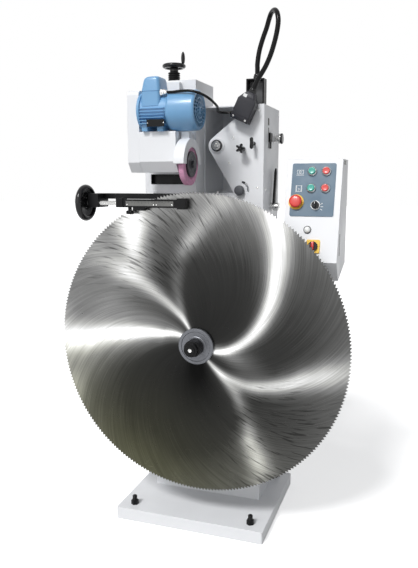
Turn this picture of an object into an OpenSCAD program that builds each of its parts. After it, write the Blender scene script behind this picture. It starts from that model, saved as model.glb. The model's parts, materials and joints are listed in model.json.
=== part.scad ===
// Wet grinding sharpener for large circular saw blades.
// Millimetres, +Z up, +Y to the rear. The origin lies on the floor, straight below the centre
// of the mounted blade, whose middle plane is y = 0.

/* [Blade and arbor] */
// Diameter of the mounted saw blade
blade_d = 1000; // [900:10:1040]
// Thickness of the blade body
blade_t = 5; // [3:0.5:7]
// Number of teeth on the rim
tooth_count = 280; // [120:10:300]
// Depth of a gullet
tooth_h = 7; // [4:0.5:10]
// Diameter of the arbor
arbor_d = 40; // [30:1:46]
// Diameter of the outer clamping flange
front_flange_d = 120; // [100:1:140]
// Thickness of the outer clamping flange
front_flange_t = 12; // [8:1:16]
// Diameter of the inner clamping flange
rear_flange_d = 130; // [100:1:145]
// Thickness of the inner clamping flange
rear_flange_t = 20; // [14:1:22]
// Outer diameter of the clamping nut
nut_d = 56; // [50:1:70]
// Length of the clamping nut
nut_l = 50; // [40:1:56]
// Outer diameter of the arbor bearings
arbor_bearing_d = 72; // [64:1:84]
// Diameter of the arbor housing barrel
barrel_d = 120; // [104:1:140]
// Width of the arbor slide
slide_w = 220; // [200:1:240]
// Height of the arbor slide
slide_h = 200; // [180:1:220]
// Thickness of the arbor slide plate
slide_t = 22; // [18:1:26]
// Diameter of the elevating screw
elevator_d = 24; // [18:1:28]

/* [Base plate] */
// How far the base plate stands out on each side of the column
base_side = 65; // [60:1:90]
// Depth of the base plate
base_d = 460; // [440:1:520]
// Thickness of the base plate
base_t = 43; // [36:1:50]
// How far the base plate reaches in front of the blade
base_front = 26; // [20:1:60]
// Distance of the levelling screws from the sides of the column
levelling_gap = 13; // [12:1:20]
// Distance of the levelling screws from the front and the back of the base plate
levelling_end = 42; // [36:1:54]
// Thread diameter of the levelling screws
levelling_d = 16; // [12:1:20]
// How far the levelling screws stand above the base plate
levelling_h = 32; // [28:1:40]

/* [Column] */
// Width of the column
column_w = 400; // [390:1:420]
// Depth of the column
column_d = 220; // [200:1:226]
// Height of the column above the base plate
column_h = 1097; // [1097:1:1110]
// Distance from the blade to the front of the column
column_front = 184; // [178:1:190]
// Wall of the column
column_wall = 8; // [6:1:12]
// Middle of the column, sideways from the arbor
column_x = -30; // [-32:1:-28]
// Thickness of the rear cover
rear_cover_t = 3; // [2:0.5:5]

/* [Upper housing] */
// Width of the feed housing on top of the column
housing_w = 215; // [200:1:215]
// Height of the feed housing
housing_h = 290; // [280:1:320]
// Wall of the feed housing
housing_wall = 5; // [4:1:8]
// Thickness of the front cover plate
cover_t = 16; // [12:1:18]
// Radius of the rounded nose of the front cover plate
nose_r = 31; // [28:1:34]
// Outer diameter of the bearing cap on the nose
boss_d = 52; // [44:1:54]
// Diameter of the shaft end in the bearing cap
boss_shaft_d = 16; // [12:1:20]

/* [Head column] */
// Depth of the head column
head_column_d = 180; // [160:1:190]
// Height of the head column above the main column
head_column_h = 368; // [360:1:380]
// Distance from the blade to the front of the head column
head_column_front = 120; // [118:1:126]
// Width of the slideway of the grinding head
way_w = 70; // [60:1:80]
// Depth of the slideway
way_t = 24; // [16:1:28]
// Clearance of every sliding fit
slide_gap = 0.1; // [0.05:0.05:0.3]
// Radial clearance of every turning fit
turn_gap = 0.05; // [0.02:0.01:0.1]

/* [Grinding head] */
// Height of the grinding spindle above the top of the column
spindle_up = 92; // [90:1:96]
// Distance from the middle of the blade to the right face of the grinding wheel
wheel_side = 18; // [16:1:22]
// Diameter of the grinding wheel
wheel_d = 130; // [110:1:135]
// Thickness of the grinding wheel
wheel_t = 18; // [12:1:22]
// Gap between the wheel and the tooth tips with the head raised
wheel_gap = 20; // [18:1:30]
// Width of the head casting
head_w = 122; // [116:1:128]
// How far the head casting reaches in front of the blade
head_front = 45; // [40:1:50]
// Height of the head casting above the spindle
head_top = 100; // [90:1:110]
// Depth of the head casting below the spindle
head_bottom = 25; // [23:1:28]
// Diameter of the spindle at its bearings
spindle_d = 17; // [12:1:20]
// Outer diameter of the spindle bearings
spindle_bearing_d = 40; // [35:1:42]
// Width of a spindle bearing
spindle_bearing_t = 12; // [10:1:16]
// Width of the belt cover
belt_cover_w = 40; // [36:1:44]
// Depth of the belt cover
belt_cover_d = 105; // [100:1:120]
// Wall of the belt cover
belt_cover_wall = 3; // [2:0.5:4]
// Outer radius of the wheel guard
guard_r = 80; // [76:1:84]
// Width of the wheel guard
guard_w = 34; // [32:1:36]
// Wall of the wheel guard
guard_wall = 3; // [2:0.5:4]

/* [Motor] */
// Height of the motor shaft above its feet
motor_h = 63; // [62:1:66]
// Diameter of the motor frame
motor_d = 108; // [100:1:112]
// Length of the motor frame
motor_l = 100; // [96:1:110]
// Thickness of each motor end shield
shield_t = 10; // [8:1:12]
// Diameter of the motor shaft
motor_shaft_d = 14; // [11:1:19]
// Diameter of the rotor
rotor_d = 60; // [50:1:64]
// Diameter of the fan cowl
cowl_d = 123; // [118:1:126]
// Length of the fan cowl
cowl_l = 92; // [80:1:100]
// Wall of the fan cowl
cowl_wall = 2; // [1.5:0.5:3]
// Width of the terminal box
terminal_w = 64; // [56:1:70]
// Depth of the terminal box
terminal_d = 80; // [76:1:90]
// Height of the top of the terminal box above the motor shaft
terminal_top = 101; // [96:1:108]
// Radius of the motor pulley
motor_pulley_r = 24; // [20:1:26]
// Radius of the spindle pulley
spindle_pulley_r = 16; // [14:1:18]
// Width of the drive belt
belt_w = 14; // [10:1:16]
// Thickness of the drive belt
belt_t = 4; // [3:0.5:5]

/* [Height adjustment] */
// Diameter of the height screw
height_screw_d = 16; // [12:1:20]
// Diameter of the ribbed collar under the top handwheel
collar_d = 40; // [36:1:48]
// Height of the collar
collar_h = 28; // [24:1:34]
// Diameter of the top handwheel
top_wheel_d = 78; // [70:1:90]
// Length of the crank grip
grip_l = 36; // [30:1:44]

/* [Rail fork] */
// Depth of each rail
rail_t = 20; // [16:1:22]
// Height of the rear rail
rear_rail_h = 18; // [14:1:24]
// Height of the front rail
front_rail_h = 26; // [24:1:30]
// Gap between the blade plane and each rail
rail_gap = 14; // [10:1:16]
// Length of the rear rail, from the fork block to its tip
rear_rail_l = 320; // [300:1:330]
// Length of the front rail without its end cap
front_rail_l = 212; // [200:1:220]
// Diameter of the feed screw
feed_screw_d = 14; // [10:1:16]
// Diameter of the arm handwheel
arm_wheel_d = 120; // [110:1:130]

/* [Control box] */
// Width of the control box
box_w = 172; // [160:1:190]
// Depth of the control box at its top
box_top_d = 122; // [110:1:140]
// Height of the slanted front of the control box
box_front_h = 315; // [305:1:330]
// How far the front foot stands in front of the top edge
box_lean = 84; // [70:1:90]
// Wall of the control box
box_wall = 3; // [2:0.5:4]
// Gap between the column and the control box
box_gap = 97; // [90:1:110]
// Size of the square support arm
arm_size = 50; // [40:1:54]
// Diameter of the push-button bezels
bezel_d = 30; // [28:1:34]
// Diameter of the push-button caps
button_d = 22; // [20:1:24]
// Diameter of the emergency stop head
stop_head_d = 40; // [36:1:44]

/* [Hidden] */
$fn = 64;

enamel = [0.93, 0.93, 0.92];
motor_blue = [0.45, 0.66, 0.84];
black = [0.07, 0.07, 0.08];
steel = [0.72, 0.72, 0.71];
dark_steel = [0.3, 0.3, 0.31];
// Gap between pieces of different bodies that don't fit into each other
soft_gap = 0.3;
// How far a cut runs past the face that it opens
cut = 1;

// Column, the base plate under it and everything stacked on it
column_x0 = column_x - column_w / 2;
column_x1 = column_x + column_w / 2;
column_top = base_t + column_h;
column_back = column_front + column_d;
base_x0 = column_x0 - base_side;
base_w = column_w + 2 * base_side;
base_corner_r = 6;
levelling_nut_d = 1.7 * levelling_d;
levelling_points = [for (x = [column_x0 - levelling_gap, column_x1 + levelling_gap],
  y = [levelling_end - base_front, base_d - base_front - levelling_end]) [x, y]];
rear_frame_side = 40;
rear_frame_end = 60;
rear_cover_side = 20;
rear_cover_end = 40;
rear_cover_r = 8;

// Slideways of the arbor slide on the front of the column
column_way_t = 12;
column_way_w = 25;
column_way_x = 55;
column_way_below = 40;
column_way_above = 60;
arbor_travel = 60;
// The blade hangs below the wheel, so a larger one has a lower arbor
spindle_z = column_top + spindle_up;
blade_top = spindle_z - wheel_d / 2 - wheel_gap;
arbor_z = blade_top - blade_d / 2;

// Arbor stack along Y, and the share of the pitch between a tooth's tip and its gullet
gullet_share = 0.22;
flange_y = blade_t / 2;
barrel_y0 = flange_y + rear_flange_t + 2;
slide_back = column_front - column_way_t - slide_gap;
slide_front = slide_back - slide_t;
slide_guide_w = 20;
slide_guide_x = column_way_x + column_way_w + slide_gap + slide_guide_w / 2;
bearing_w = 18;
bearing_inset = 3;
arbor_nose_d = 32;
arbor_nose_over = 3;
rear_flange_step = 6;
rear_flange_hub_d = arbor_d + 24;
nut_nose_l = 14;
nut_nose_d = nut_d - 12;

// Elevating screw and the nut arm of the arbor slide
elevator_y = column_front + column_wall + 24;
journal_d = 16;
journal_over = 4;
nut_arm_w = 20;
nut_arm_h = 30;
nut_arm_gap = 1;
nut_arm_room = 8;
nut_block_r = 24;
nut_block_y = column_front + column_wall + 4;

// Feed housing and its front cover plate
cover_front = column_front;
housing_front = cover_front + cover_t;
housing_x0 = column_x1 - housing_w;
housing_top = column_top + housing_h;
nose_x = column_x1 - 162;
nose_z = column_top + 158;
nose_from = 129;
nose_to = 209;
nose_steps = 16;
cover_top_w = 44;
cover_foot_x = column_x1 - 102;
boss_step = 6;
boss_cap_d = boss_d - 10;
boss_cap_l = 8;
boss_end_l = 4;

// Knobs on the front cover plate
stud_d = 10;
knob_x = column_x1 - 81;
knob_z = column_top + 9;
knob_d = 34;
knob_l = 18;
slot_r = 29;
slot_w = 8;
slot_from = -5;
slot_to = 71;
slot_pin_d = slot_w - 2;
slot_arm_t = 5;
slot_pin_over = 2;
star_x = column_x1 - 70;
star_z = column_top + 146;
star_lobes = 5;
star_lobe_r = 5;
star_r = 11;
star_disc_r = 12;
star_t = 14;
star_l = 30;
star_hub_d = 14;
wing_x = column_x1 - 34;
wing_z = column_top + 163;
wing_l = 38;
wing_d = 14;
wing_y = cover_front - 30;
wing_neck_d = 12;
wing_neck_l = 24;

// Clamp lever and latch knob on the right side
lever_y = column_front + 106;
lever_z = column_top - 48;
lever_shaft_d = 16;
lever_hub_d = 28;
lever_hub_l = 32;
lever_t = 9;
lever_off = 8;
lever_l = 132;
lever_root = 13;
lever_tip = [17, 27];
shaft_over = 4;
side_knob_y = column_front + 151;
side_knob_z = column_top + 187;
side_stud_d = 12;
side_neck_d = 24;
side_neck_l = 16;
side_head_d = 36;
side_head_l = 14;

// Cable duct on top of the housing
duct_x0 = column_x1 - 67;
duct_w = 61;
duct_h = 84;
duct_d = 36;
duct_wall = 5;

// Head column
head_column_top = column_top + head_column_h;
head_column_x1 = housing_x0;
head_column_back = head_column_front + head_column_d;
head_reach = 34;
head_way_right = 76;
wheel_x1 = -wheel_side;
head_x1 = wheel_x1 - head_reach;
way_x = head_x1 - head_way_right;
way_top = head_column_top - 8;
way_below = 2;
head_down = 15;
head_up = 30;
height_screw_y = head_column_front + 18;
cavity_d = 44;
cavity_front = 10;
cavity_below = 20;
cavity_top = head_column_top - 30;
recess_left = 81;
recess_right = 39;
recess_d = 20;
recess_h = 34;

// Grinding head
nut_z = spindle_z + 48;
head_nut_r = 15;
head_nut_room = 6;
head_z0 = spindle_z - head_bottom;
recess_top = head_z0 - 4;
head_z1 = spindle_z + head_top;
head_x0 = head_x1 - head_w;
head_back = head_column_front - slide_gap;
head_chamfer = 33;
chamfer_run = 0.7 * head_chamfer;
belt_x0 = head_x0 - belt_cover_w;
belt_cover_r = 16;
belt_x = head_x0 - belt_cover_w / 2 - belt_w / 2;
belt_gap = 0.1;
cover_hole_gap = 3;
spindle_bearing_inset = 4;

// Grinding wheel, its clamping and its guard
wheel_x0 = wheel_x1 - wheel_t;
wheel_bore = 32;
wheel_hub_d = 50;
wheel_hub_t = 6;
wheel_flange_d = 82;
wheel_flange_t = 5;
wheel_nut_d = 26;
wheel_nut_l = 10;
spindle_over = 3;
guard_x0 = head_x1 + 6;
guard_x1 = guard_x0 + guard_w;
guard_rim = 5;
guard_eye_r = 52;
guard_root_r = guard_r - 30;
guard_root_gap = 2;
guard_hole_gap = 8;
guard_neck_w = 24;
guard_neck_t = guard_w - 8;
guard_neck_z = spindle_z + guard_r - 20;

// Motor
motor_z = head_z1 + motor_h;
motor_y = -10;
motor_x0 = head_x0;
motor_x1 = motor_x0 + motor_l;
cowl_x1 = motor_x1 + cowl_l;
belt_top = motor_z + cowl_d / 2 + 2;
shield_over = 5;
rib_pitch = 9;
rib_t = 3;
rib_h = 5;
rib_end = 6;
rib_low = -42;
rib_high = 3;
foot_w = 96;
foot_l = 20;
foot_first = 14;
foot_last = 34;
foot_h = 33;
rotor_gap = 2;
rotor_end = 8;
fan_x = motor_x1 + 12;
fan_disc_t = 4;
fan_disc_d = cowl_d - 24;
fan_blade_l = 16;
fan_blade_t = 3;
fan_hub_r = 14;
grille_pitch = 15;
grille_hole_d = 8;
grille_rings = 3;
grille_depth = 6;
terminal_x0 = motor_x0 + 14;
terminal_x1 = terminal_x0 + terminal_w;
terminal_y0 = motor_y - 54;
terminal_z0 = motor_z + 12;
terminal_r = 10;
gland_z = motor_z + 52;
gland_y = terminal_y0 + 12;
gland_nut_d = 20;
gland_nut_l = 12;
gland_cap_d = 15;
gland_cap_l = 9;

// Height adjustment
top_wheel_z = head_column_top + collar_h + 12;
top_rim_r = 7;
top_hub_t = 6;
top_hub_h = 12;
top_web_z = 4;
top_web_t = 8;
collar_steps = 4;
collar_groove = 2;
height_screw_below = 10;
collar_bore_l = 50;
grip_x = top_wheel_d / 2 - top_rim_r;
grip_pin_d = 6;
grip_d = 13;
grip_end_d = 10;
grip_end_l = 4;
grip_barrel_l = grip_l - 6;
grip_foot = 15;

// Rail fork
rail_top = column_top;
rail_y = rail_gap + rail_t / 2;
fork_x0 = -366;
fork_w = 37;
fork_h = 45;
fork_over = 4;
front_rail_x0 = -265;
front_rail_top = rail_top - 18;
feed_screw_z = front_rail_top - front_rail_h / 2;
feed_out = 20;
feed_screw_l = 110;
feed_bore_l = 150;
rail_block_l = 24;
rail_block_over = 3;
rail_cap_l = 28;
rail_cap_over = 4;
rail_cap_front = 2;
rail_boss_x = 58;
rail_boss_l = 40;
rail_boss_h = 10;
rail_boss_inset = 2;
guide_d = 6;
guide_y = -9;
guide_wall = 2;
guide_over = rail_block_l + feed_out + 2;
clamp_x = front_rail_x0 + 44;
clamp_stud_d = 6;
clamp_neck_d = 14;
clamp_neck_l = 10;
clamp_head_d = 26;
clamp_head_l = 12;
arm_wheel_x = fork_x0 - 14;
arm_rim_r = 8;
arm_rim_t = 8;
arm_hub_r = 16;
arm_hub_l = 28;
arm_web_z = 2;
arm_web_t = 6;
bracket_x0 = -140;
bracket_w = 80;
bracket_h = 46;
bracket_wall = 20;
bracket_roof = 14;

// Control box, seen from the side as (y, z) points
box_x0 = column_x1 + box_gap;
box_top_y = head_column_front;
box_top_z = column_top + 108;
box_back_y = box_top_y + box_top_d;
box_foot_y = box_top_y - box_lean;
box_foot_z = box_top_z - box_front_h;
box_back_z = box_foot_z - 22;
box_heel_y = box_foot_y + 50;
box_heel_z = box_foot_z - 62;
arm_back = 6;
arm_z = box_foot_z + 30;
lean = atan2(box_lean, box_front_h);
panel_w = 137;
panel_h = 169;
panel_t = 2;
panel_r = 6;
panel_left = 16;
panel_drop = 14;

// Devices on the control box, each by its place across and down the slanted front
stem_d = 16;
stem_l = 26;
stem_hole_d = stem_d + 2 * soft_gap;
hole_depth = 12;
start_x = box_x0 + 79;
stop_x = box_x0 + 123;
upper_s = 40;
lower_s = 94;
estop_x = box_x0 + 35;
estop_s = 138;
selector_x = box_x0 + 96;
selector_s = 148;
lamp_x = box_x0 + 76;
lamp_s = 225;
switch_x = box_x0 + 97;
switch_s = 277;
bezel_h = 7;
button_lift = 4.5;
button_h = 6;
stop_ring_d = stop_head_d + 8;
plain_ring_h = 3;
stop_lift = 10;
stop_head_h = 10;
selector_d = 24;
selector_base_h = 6;
selector_bar_w = 8;
selector_bar_h = 10;
lamp_d = 24;
lamp_h = 8;
switch_plate = 42;
switch_plate_t = 4;
switch_d = 30;
switch_base_h = 6;
switch_bar_w = 10;
switch_bar_h = 10;

// Route of the loop cable, from the duct gland over the top and down to the connector hood, with
// heights above the top of the column
loop_d = 16;
loop_points = [[137, 216, 390], [137, 216, 407], [137, 216, 424], [142, 218, 462],
  [153, 221, 502], [165, 220, 533], [174, 213, 556], [183, 202, 571], [195, 186, 577],
  [207, 169, 572], [216, 156, 557], [220, 149, 534], [217, 147, 505], [209, 148, 472],
  [197, 151, 437], [181, 156, 405], [165, 160, 381], [154, 162, 366], [147, 162, 351],
  [140, 162, 336]];
loop_route = [for (p = loop_points) p + [0, 0, column_top]];
// Route of the motor cable, from the terminal box to the side of the connector hood, likewise
motor_cable_d = 8;
motor_points = [[-75, -52, 307], [-65, -52, 307], [-55, -52, 307], [-36, -54, 308],
  [-16, -57, 308], [2, -59, 307], [20, -57, 303], [36, -48, 297], [47, -32, 290], [53, -10, 283],
  [54, 16, 277], [52, 44, 273], [46, 72, 270], [38, 98, 268], [31, 118, 266], [28, 131, 265],
  [31, 144, 264], [39, 155, 263], [49, 161, 263], [60, 162, 263]];
motor_route = [for (p = motor_points) p + [0, 0, column_top]];

// Connector hood, placed so that its gland meets the end of the loop cable
hood_tilt = 25;
hood_w = 64;
hood_l = 88;
hood_shoulder = 22;
hood_neck = 8;
hood_neck_w = 26;
hood_gland = 14;
hood_gland_d = 25;
duct_gland_d = 26;
duct_gland_l = 16;
lead_gland_d = 12;
hood_y = 162;
hood_t = 2 * (column_front - hood_y);
hood_tip = loop_route[len(loop_route) - 1];
hood_reach = hood_l / 2 + hood_neck + hood_gland;
hood_x = hood_tip[0] - hood_reach * sin(hood_tilt);
hood_z = hood_tip[2] - hood_reach * cos(hood_tilt);
lead_end = motor_route[len(motor_route) - 1];
lead_gland_l = 16;

// Shared shapes ------------------------------------------------------------

// A rod from x0 along +X, centred on (y, z)
module rod_x(x0, l, d, y, z) translate([x0, y, z]) rotate([0, 90, 0]) cylinder(d = d, h = l);

// A rod from y0 along +Y, centred on (x, z)
module rod_y(y0, l, d, x, z) translate([x, y0, z]) rotate([-90, 0, 0]) cylinder(d = d, h = l);

// Bores along X, Y and Z, which run past both faces
module bore_x(x0, l, d, y, z) rod_x(x0 - cut, l + 2 * cut, d, y, z);
module bore_y(y0, l, d, x, z) rod_y(y0 - cut, l + 2 * cut, d, x, z);
module bore_z(z0, l, d, x, y) translate([x, y, z0 - cut]) cylinder(d = d, h = l + 2 * cut);

// A side outline of (y, z) points, given a thickness l along X from x0
module side_plate(x0, l) translate([x0, 0, 0]) rotate([90, 0, 90]) linear_extrude(l) children();

// A front outline of (x, z) points, given a thickness l along Y from y0
module front_plate(y0, l) translate([0, y0 + l, 0]) rotate([90, 0, 0]) linear_extrude(l) children();

// A rectangle with round corners, its lower left corner at the origin
module round_rect(w, h, r) {
  translate([r, 0]) square([w - 2 * r, h]);
  translate([0, r]) square([w, h - 2 * r]);
  for (x = [r, w - r], y = [r, h - r]) translate([x, y]) circle(r);
}

// A block between two corners
module block(a, b) translate(a) cube(b - a);

// Points along an arc about c, from angle a0 to a1
function on_circle(c, r, a) = c + r * [cos(a), sin(a)];
function arc(c, r, a0, a1, steps) = [for (i = [0 : steps]) on_circle(c, r, a0 + (a1 - a0) * i / steps)];

// Places a device on the slanted front of the control box, its axis square to that face
module on_panel(x, s) translate([x, box_top_y - s * sin(lean), box_top_z - s * cos(lean)])
  rotate([90 - lean, 0, 0]) children();

// Points on a Catmull-Rom curve through the route, two for each stretch
function before(p, i) = i > 0 ? p[i - 1] : 2 * p[0] - p[1];
function after(p, i) = i < len(p) - 1 ? p[i + 1] : 2 * p[i] - p[i - 1];
function midway(p, i) = (9 * (p[i] + p[i + 1]) - before(p, i) - after(p, i + 1)) / 16;
function smooth(p) = [for (i = [0 : len(p) - 2]) each [p[i], midway(p, i)], p[len(p) - 1]];
function unit(v) = v / norm(v);
function heading(p, i) = unit(after(p, i) - before(p, i));

// A tube swept along a route; side is a direction that the route never runs in
module swept_tube(route, d, side, sides = 10) {
  p = smooth(route);
  rings = len(p);
  points = [for (i = [0 : rings - 1])
    let (t = heading(p, i), u = unit(cross(t, side)), v = cross(t, u))
    for (k = [0 : sides - 1]) let (a = 360 * k / sides) p[i] + d / 2 * (cos(a) * u + sin(a) * v)];
  walls = [for (i = [0 : rings - 2], k = [0 : sides - 1])
    let (a = i * sides + k, b = i * sides + (k + 1) % sides)
    each [[a, a + sides, b], [b, a + sides, b + sides]]];
  first = [[for (k = [0 : sides - 1]) k]];
  last = [[for (k = [sides - 1 : -1 : 0]) (rings - 1) * sides + k]];
  polyhedron(points = points, faces = concat(walls, first, last));
}

// Base and column -----------------------------------------------------------

// Cast slab with a plain hole for each levelling screw
module base_plate() color(enamel) difference() {
  translate([base_x0, -base_front, 0]) linear_extrude(base_t) round_rect(base_w, base_d, base_corner_r);
  for (p = levelling_points) bore_z(0, base_t, levelling_d, p[0], p[1]);
}

// Four screws that reach the floor, each with its lock nut
module levelling_screws() color(black) for (p = levelling_points) translate([p[0], p[1], 0]) {
  cylinder(d = levelling_d, h = base_t + levelling_h);
  translate([0, 0, base_t]) rotate(30) cylinder(d = levelling_nut_d, h = levelling_d, $fn = 6);
}

// Hollow column, open at the back, with two slideways on its front
module column() color(enamel) difference() {
  union() {
    block([column_x0, column_front, base_t], [column_x1, column_back, column_top]);
    for (side = [-1, 1]) translate([side * (column_way_x + column_way_w / 2), 0, 0])
      block([-column_way_w / 2, column_front - column_way_t,
        arbor_z - arbor_travel - slide_h / 2 - column_way_below],
        [column_way_w / 2, column_front, arbor_z + slide_h / 2 + column_way_above]);
  }
  block([column_x0 + column_wall, column_front + column_wall, base_t + column_wall],
    [column_x1 - column_wall, column_back - column_wall, column_top - column_wall]);
  // Opening in the back, closed by the rear cover
  block([column_x0 + rear_frame_side, column_back - column_wall - cut, base_t + rear_frame_end],
    [column_x1 - rear_frame_side, column_back + cut, column_top - rear_frame_end]);
  // Slot that the nut arm of the arbor slide passes through
  block([-nut_arm_w / 2 - nut_arm_gap, column_front - cut,
    arbor_z - arbor_travel - nut_arm_h - nut_arm_room],
    [nut_arm_w / 2 + nut_arm_gap, column_front + column_wall + cut, arbor_z + nut_arm_h + nut_arm_room]);
  // Journal of the elevating screw in the top plate, and the hole of the clamp lever
  bore_z(column_top - column_wall, column_wall, journal_d + 2 * turn_gap, 0, elevator_y);
  bore_x(column_x1 - column_wall, column_wall, lever_shaft_d + 2 * turn_gap, lever_y, lever_z);
}

// Sheet that closes the back of the column
module rear_cover() color(enamel) front_plate(column_back, rear_cover_t)
  translate([column_x0 + rear_cover_side, base_t + rear_cover_end])
    round_rect(column_w - 2 * rear_cover_side, column_h - 2 * rear_cover_end, rear_cover_r);

// Screw that stands on the column's floor and turns in its top plate
module elevating_screw() color(steel) {
  translate([0, elevator_y, base_t + column_wall])
    cylinder(d = elevator_d, h = column_h - 2 * column_wall - soft_gap);
  translate([0, elevator_y, column_top - column_wall - soft_gap])
    cylinder(d = journal_d, h = column_wall + soft_gap + journal_over);
}

// Feed housing and its fittings ----------------------------------------------

// Shell, open to the front and closed below by the column
module upper_housing() color(enamel) difference() {
  block([housing_x0, housing_front, column_top], [column_x1, column_back, housing_top]);
  block([housing_x0 + housing_wall, housing_front - cut, column_top - cut],
    [column_x1 - housing_wall, column_back - housing_wall, housing_top - housing_wall]);
  bore_x(column_x1 - housing_wall, housing_wall, side_stud_d + 2 * turn_gap, side_knob_y, side_knob_z);
}

// Outline of the cover plate: a nose to the left between two slanted edges
module cover_outline() polygon(concat(
  [[column_x1, column_top], [column_x1, housing_top], [column_x1 - cover_top_w, housing_top]],
  arc([nose_x, nose_z], nose_r, nose_from, nose_to, nose_steps),
  [[cover_foot_x, column_top]]));

// Curved slot about the knob, with round ends
module cover_slot() {
  knob = [knob_x, knob_z];
  end_r = slot_w / 2;
  polygon(concat(arc(knob, slot_r + end_r, slot_from, slot_to, 14),
    arc(on_circle(knob, slot_r, slot_to), end_r, slot_to + 20, slot_to + 160, 7),
    arc(knob, slot_r - end_r, slot_to, slot_from, 14),
    arc(on_circle(knob, slot_r, slot_from), end_r, slot_from + 200, slot_from + 340, 7)));
}

module front_cover_plate() color(enamel) difference() {
  front_plate(cover_front, cover_t) cover_outline();
  front_plate(cover_front - cut, cover_t + 2 * cut) cover_slot();
  for (p = [[knob_x, knob_z], [star_x, star_z], [wing_x, wing_z]])
    bore_y(cover_front, cover_t, stud_d + 2 * turn_gap, p[0], p[1]);
}

// Bearing cap on the nose, with the shaft end in its middle
module boss_bearing() color(steel) {
  rod_y(cover_front - boss_step, boss_step, boss_d, nose_x, nose_z);
  rod_y(cover_front - boss_step - boss_cap_l, boss_cap_l, boss_cap_d, nose_x, nose_z);
  rod_y(cover_front - boss_step - boss_cap_l - boss_end_l, boss_end_l, boss_shaft_d, nose_x, nose_z);
}

// Stud of a knob, from just outside the cover plate to its back
module cover_stud(x, z, over = 0) rod_y(cover_front - soft_gap, cover_t + soft_gap + over, stud_d, x, z);

module star_knob() color(black) {
  front_plate(cover_front - star_l - star_t, star_t) {
    translate([star_x, star_z]) circle(star_disc_r);
    for (k = [0 : star_lobes - 1]) translate(on_circle([star_x, star_z], star_r, 360 * k / star_lobes))
      circle(star_lobe_r);
  }
  rod_y(cover_front - star_l, star_l - soft_gap, star_hub_d, star_x, star_z);
  cover_stud(star_x, star_z);
}

module wing_knob() color(black) {
  translate([wing_x, wing_y, wing_z - wing_l / 2]) cylinder(d = wing_d, h = wing_l);
  rod_y(cover_front - wing_neck_l, wing_neck_l - soft_gap, wing_neck_d, wing_x, wing_z);
  cover_stud(wing_x, wing_z);
}

// Round knob whose arm, behind the cover plate, carries a pin that shows in the curved slot
module slot_knob() color(dark_steel) {
  rod_y(cover_front - knob_l, knob_l - soft_gap, knob_d, knob_x, knob_z);
  cover_stud(knob_x, knob_z, slot_arm_t + cut);
  translate([knob_x, housing_front + soft_gap, knob_z]) rotate([0, -slot_to, 0]) {
    translate([stud_d / 2 - cut, 0, -slot_pin_d / 2]) cube([slot_r - stud_d / 2, slot_arm_t, slot_pin_d]);
    translate([slot_r, -cover_t - soft_gap - slot_pin_over, 0]) rotate([-90, 0, 0])
      cylinder(d = slot_pin_d, h = cover_t + soft_gap + slot_pin_over + slot_arm_t);
  }
}

// Tapered hand lever on a hub, whose shaft enters the column
module side_lever() color(black) {
  rod_x(column_x1 + soft_gap, lever_hub_l, lever_hub_d, lever_y, lever_z);
  rod_x(column_x1 - column_wall - shaft_over, column_wall + shaft_over + soft_gap, lever_shaft_d,
    lever_y, lever_z);
  side_plate(column_x1 + lever_off, lever_t) polygon([[lever_y - lever_root, lever_z],
    [lever_y + lever_root, lever_z], [lever_y + lever_tip[1], lever_z + lever_l],
    [lever_y + lever_tip[0], lever_z + lever_l]]);
}

module side_knob() color(black) {
  rod_x(column_x1 + soft_gap, side_neck_l, side_neck_d, side_knob_y, side_knob_z);
  rod_x(column_x1 + soft_gap + side_neck_l, side_head_l, side_head_d, side_knob_y, side_knob_z);
  rod_x(column_x1 - housing_wall - shaft_over, housing_wall + shaft_over + soft_gap, side_stud_d,
    side_knob_y, side_knob_z);
}

// Cables ------------------------------------------------------------------------

// Channel on the housing, open to the front
module cable_duct() color([0.25, 0.25, 0.27]) difference() {
  block([duct_x0, housing_front, housing_top],
    [duct_x0 + duct_w, housing_front + duct_d, housing_top + duct_h]);
  block([duct_x0 + duct_wall, housing_front - cut, housing_top + duct_wall],
    [duct_x0 + duct_w - duct_wall, housing_front + duct_d - duct_wall, housing_top + duct_h - duct_wall]);
}

module hood_frame() translate([hood_x, hood_y, hood_z]) rotate([0, hood_tilt, 0]) children();

// Hood with shoulders that narrow to its neck, flat on the front cover plate, and the entry of
// the motor cable in its left side
module connector_hood() color([0.2, 0.2, 0.22]) union() {
  hood_frame() front_plate(-hood_t / 2, hood_t)
    polygon([[-hood_w / 2, -hood_l / 2], [hood_w / 2, -hood_l / 2],
      [hood_w / 2, hood_l / 2 - hood_shoulder],
      [hood_neck_w / 2, hood_l / 2 + hood_neck], [-hood_neck_w / 2, hood_l / 2 + hood_neck],
      [-hood_w / 2, hood_l / 2 - hood_shoulder]]);
  rod_x(lead_end[0] + soft_gap, lead_gland_l, lead_gland_d, lead_end[1], lead_end[2]);
}

// Glands of the loop cable, on the duct and on the hood
module cable_glands() color(black) {
  translate([loop_route[0][0], loop_route[0][1], housing_top + duct_h])
    cylinder(d = duct_gland_d, h = duct_gland_l);
  hood_frame() translate([0, 0, hood_l / 2 + hood_neck]) cylinder(d = hood_gland_d, h = hood_gland);
}

module loop_cable() color(black) swept_tube(loop_route, loop_d, [1, 0, 0]);
module motor_cable() color(black) swept_tube(motor_route, motor_cable_d, [0, 0, 1]);

// Head column and rail fork ---------------------------------------------------

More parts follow.
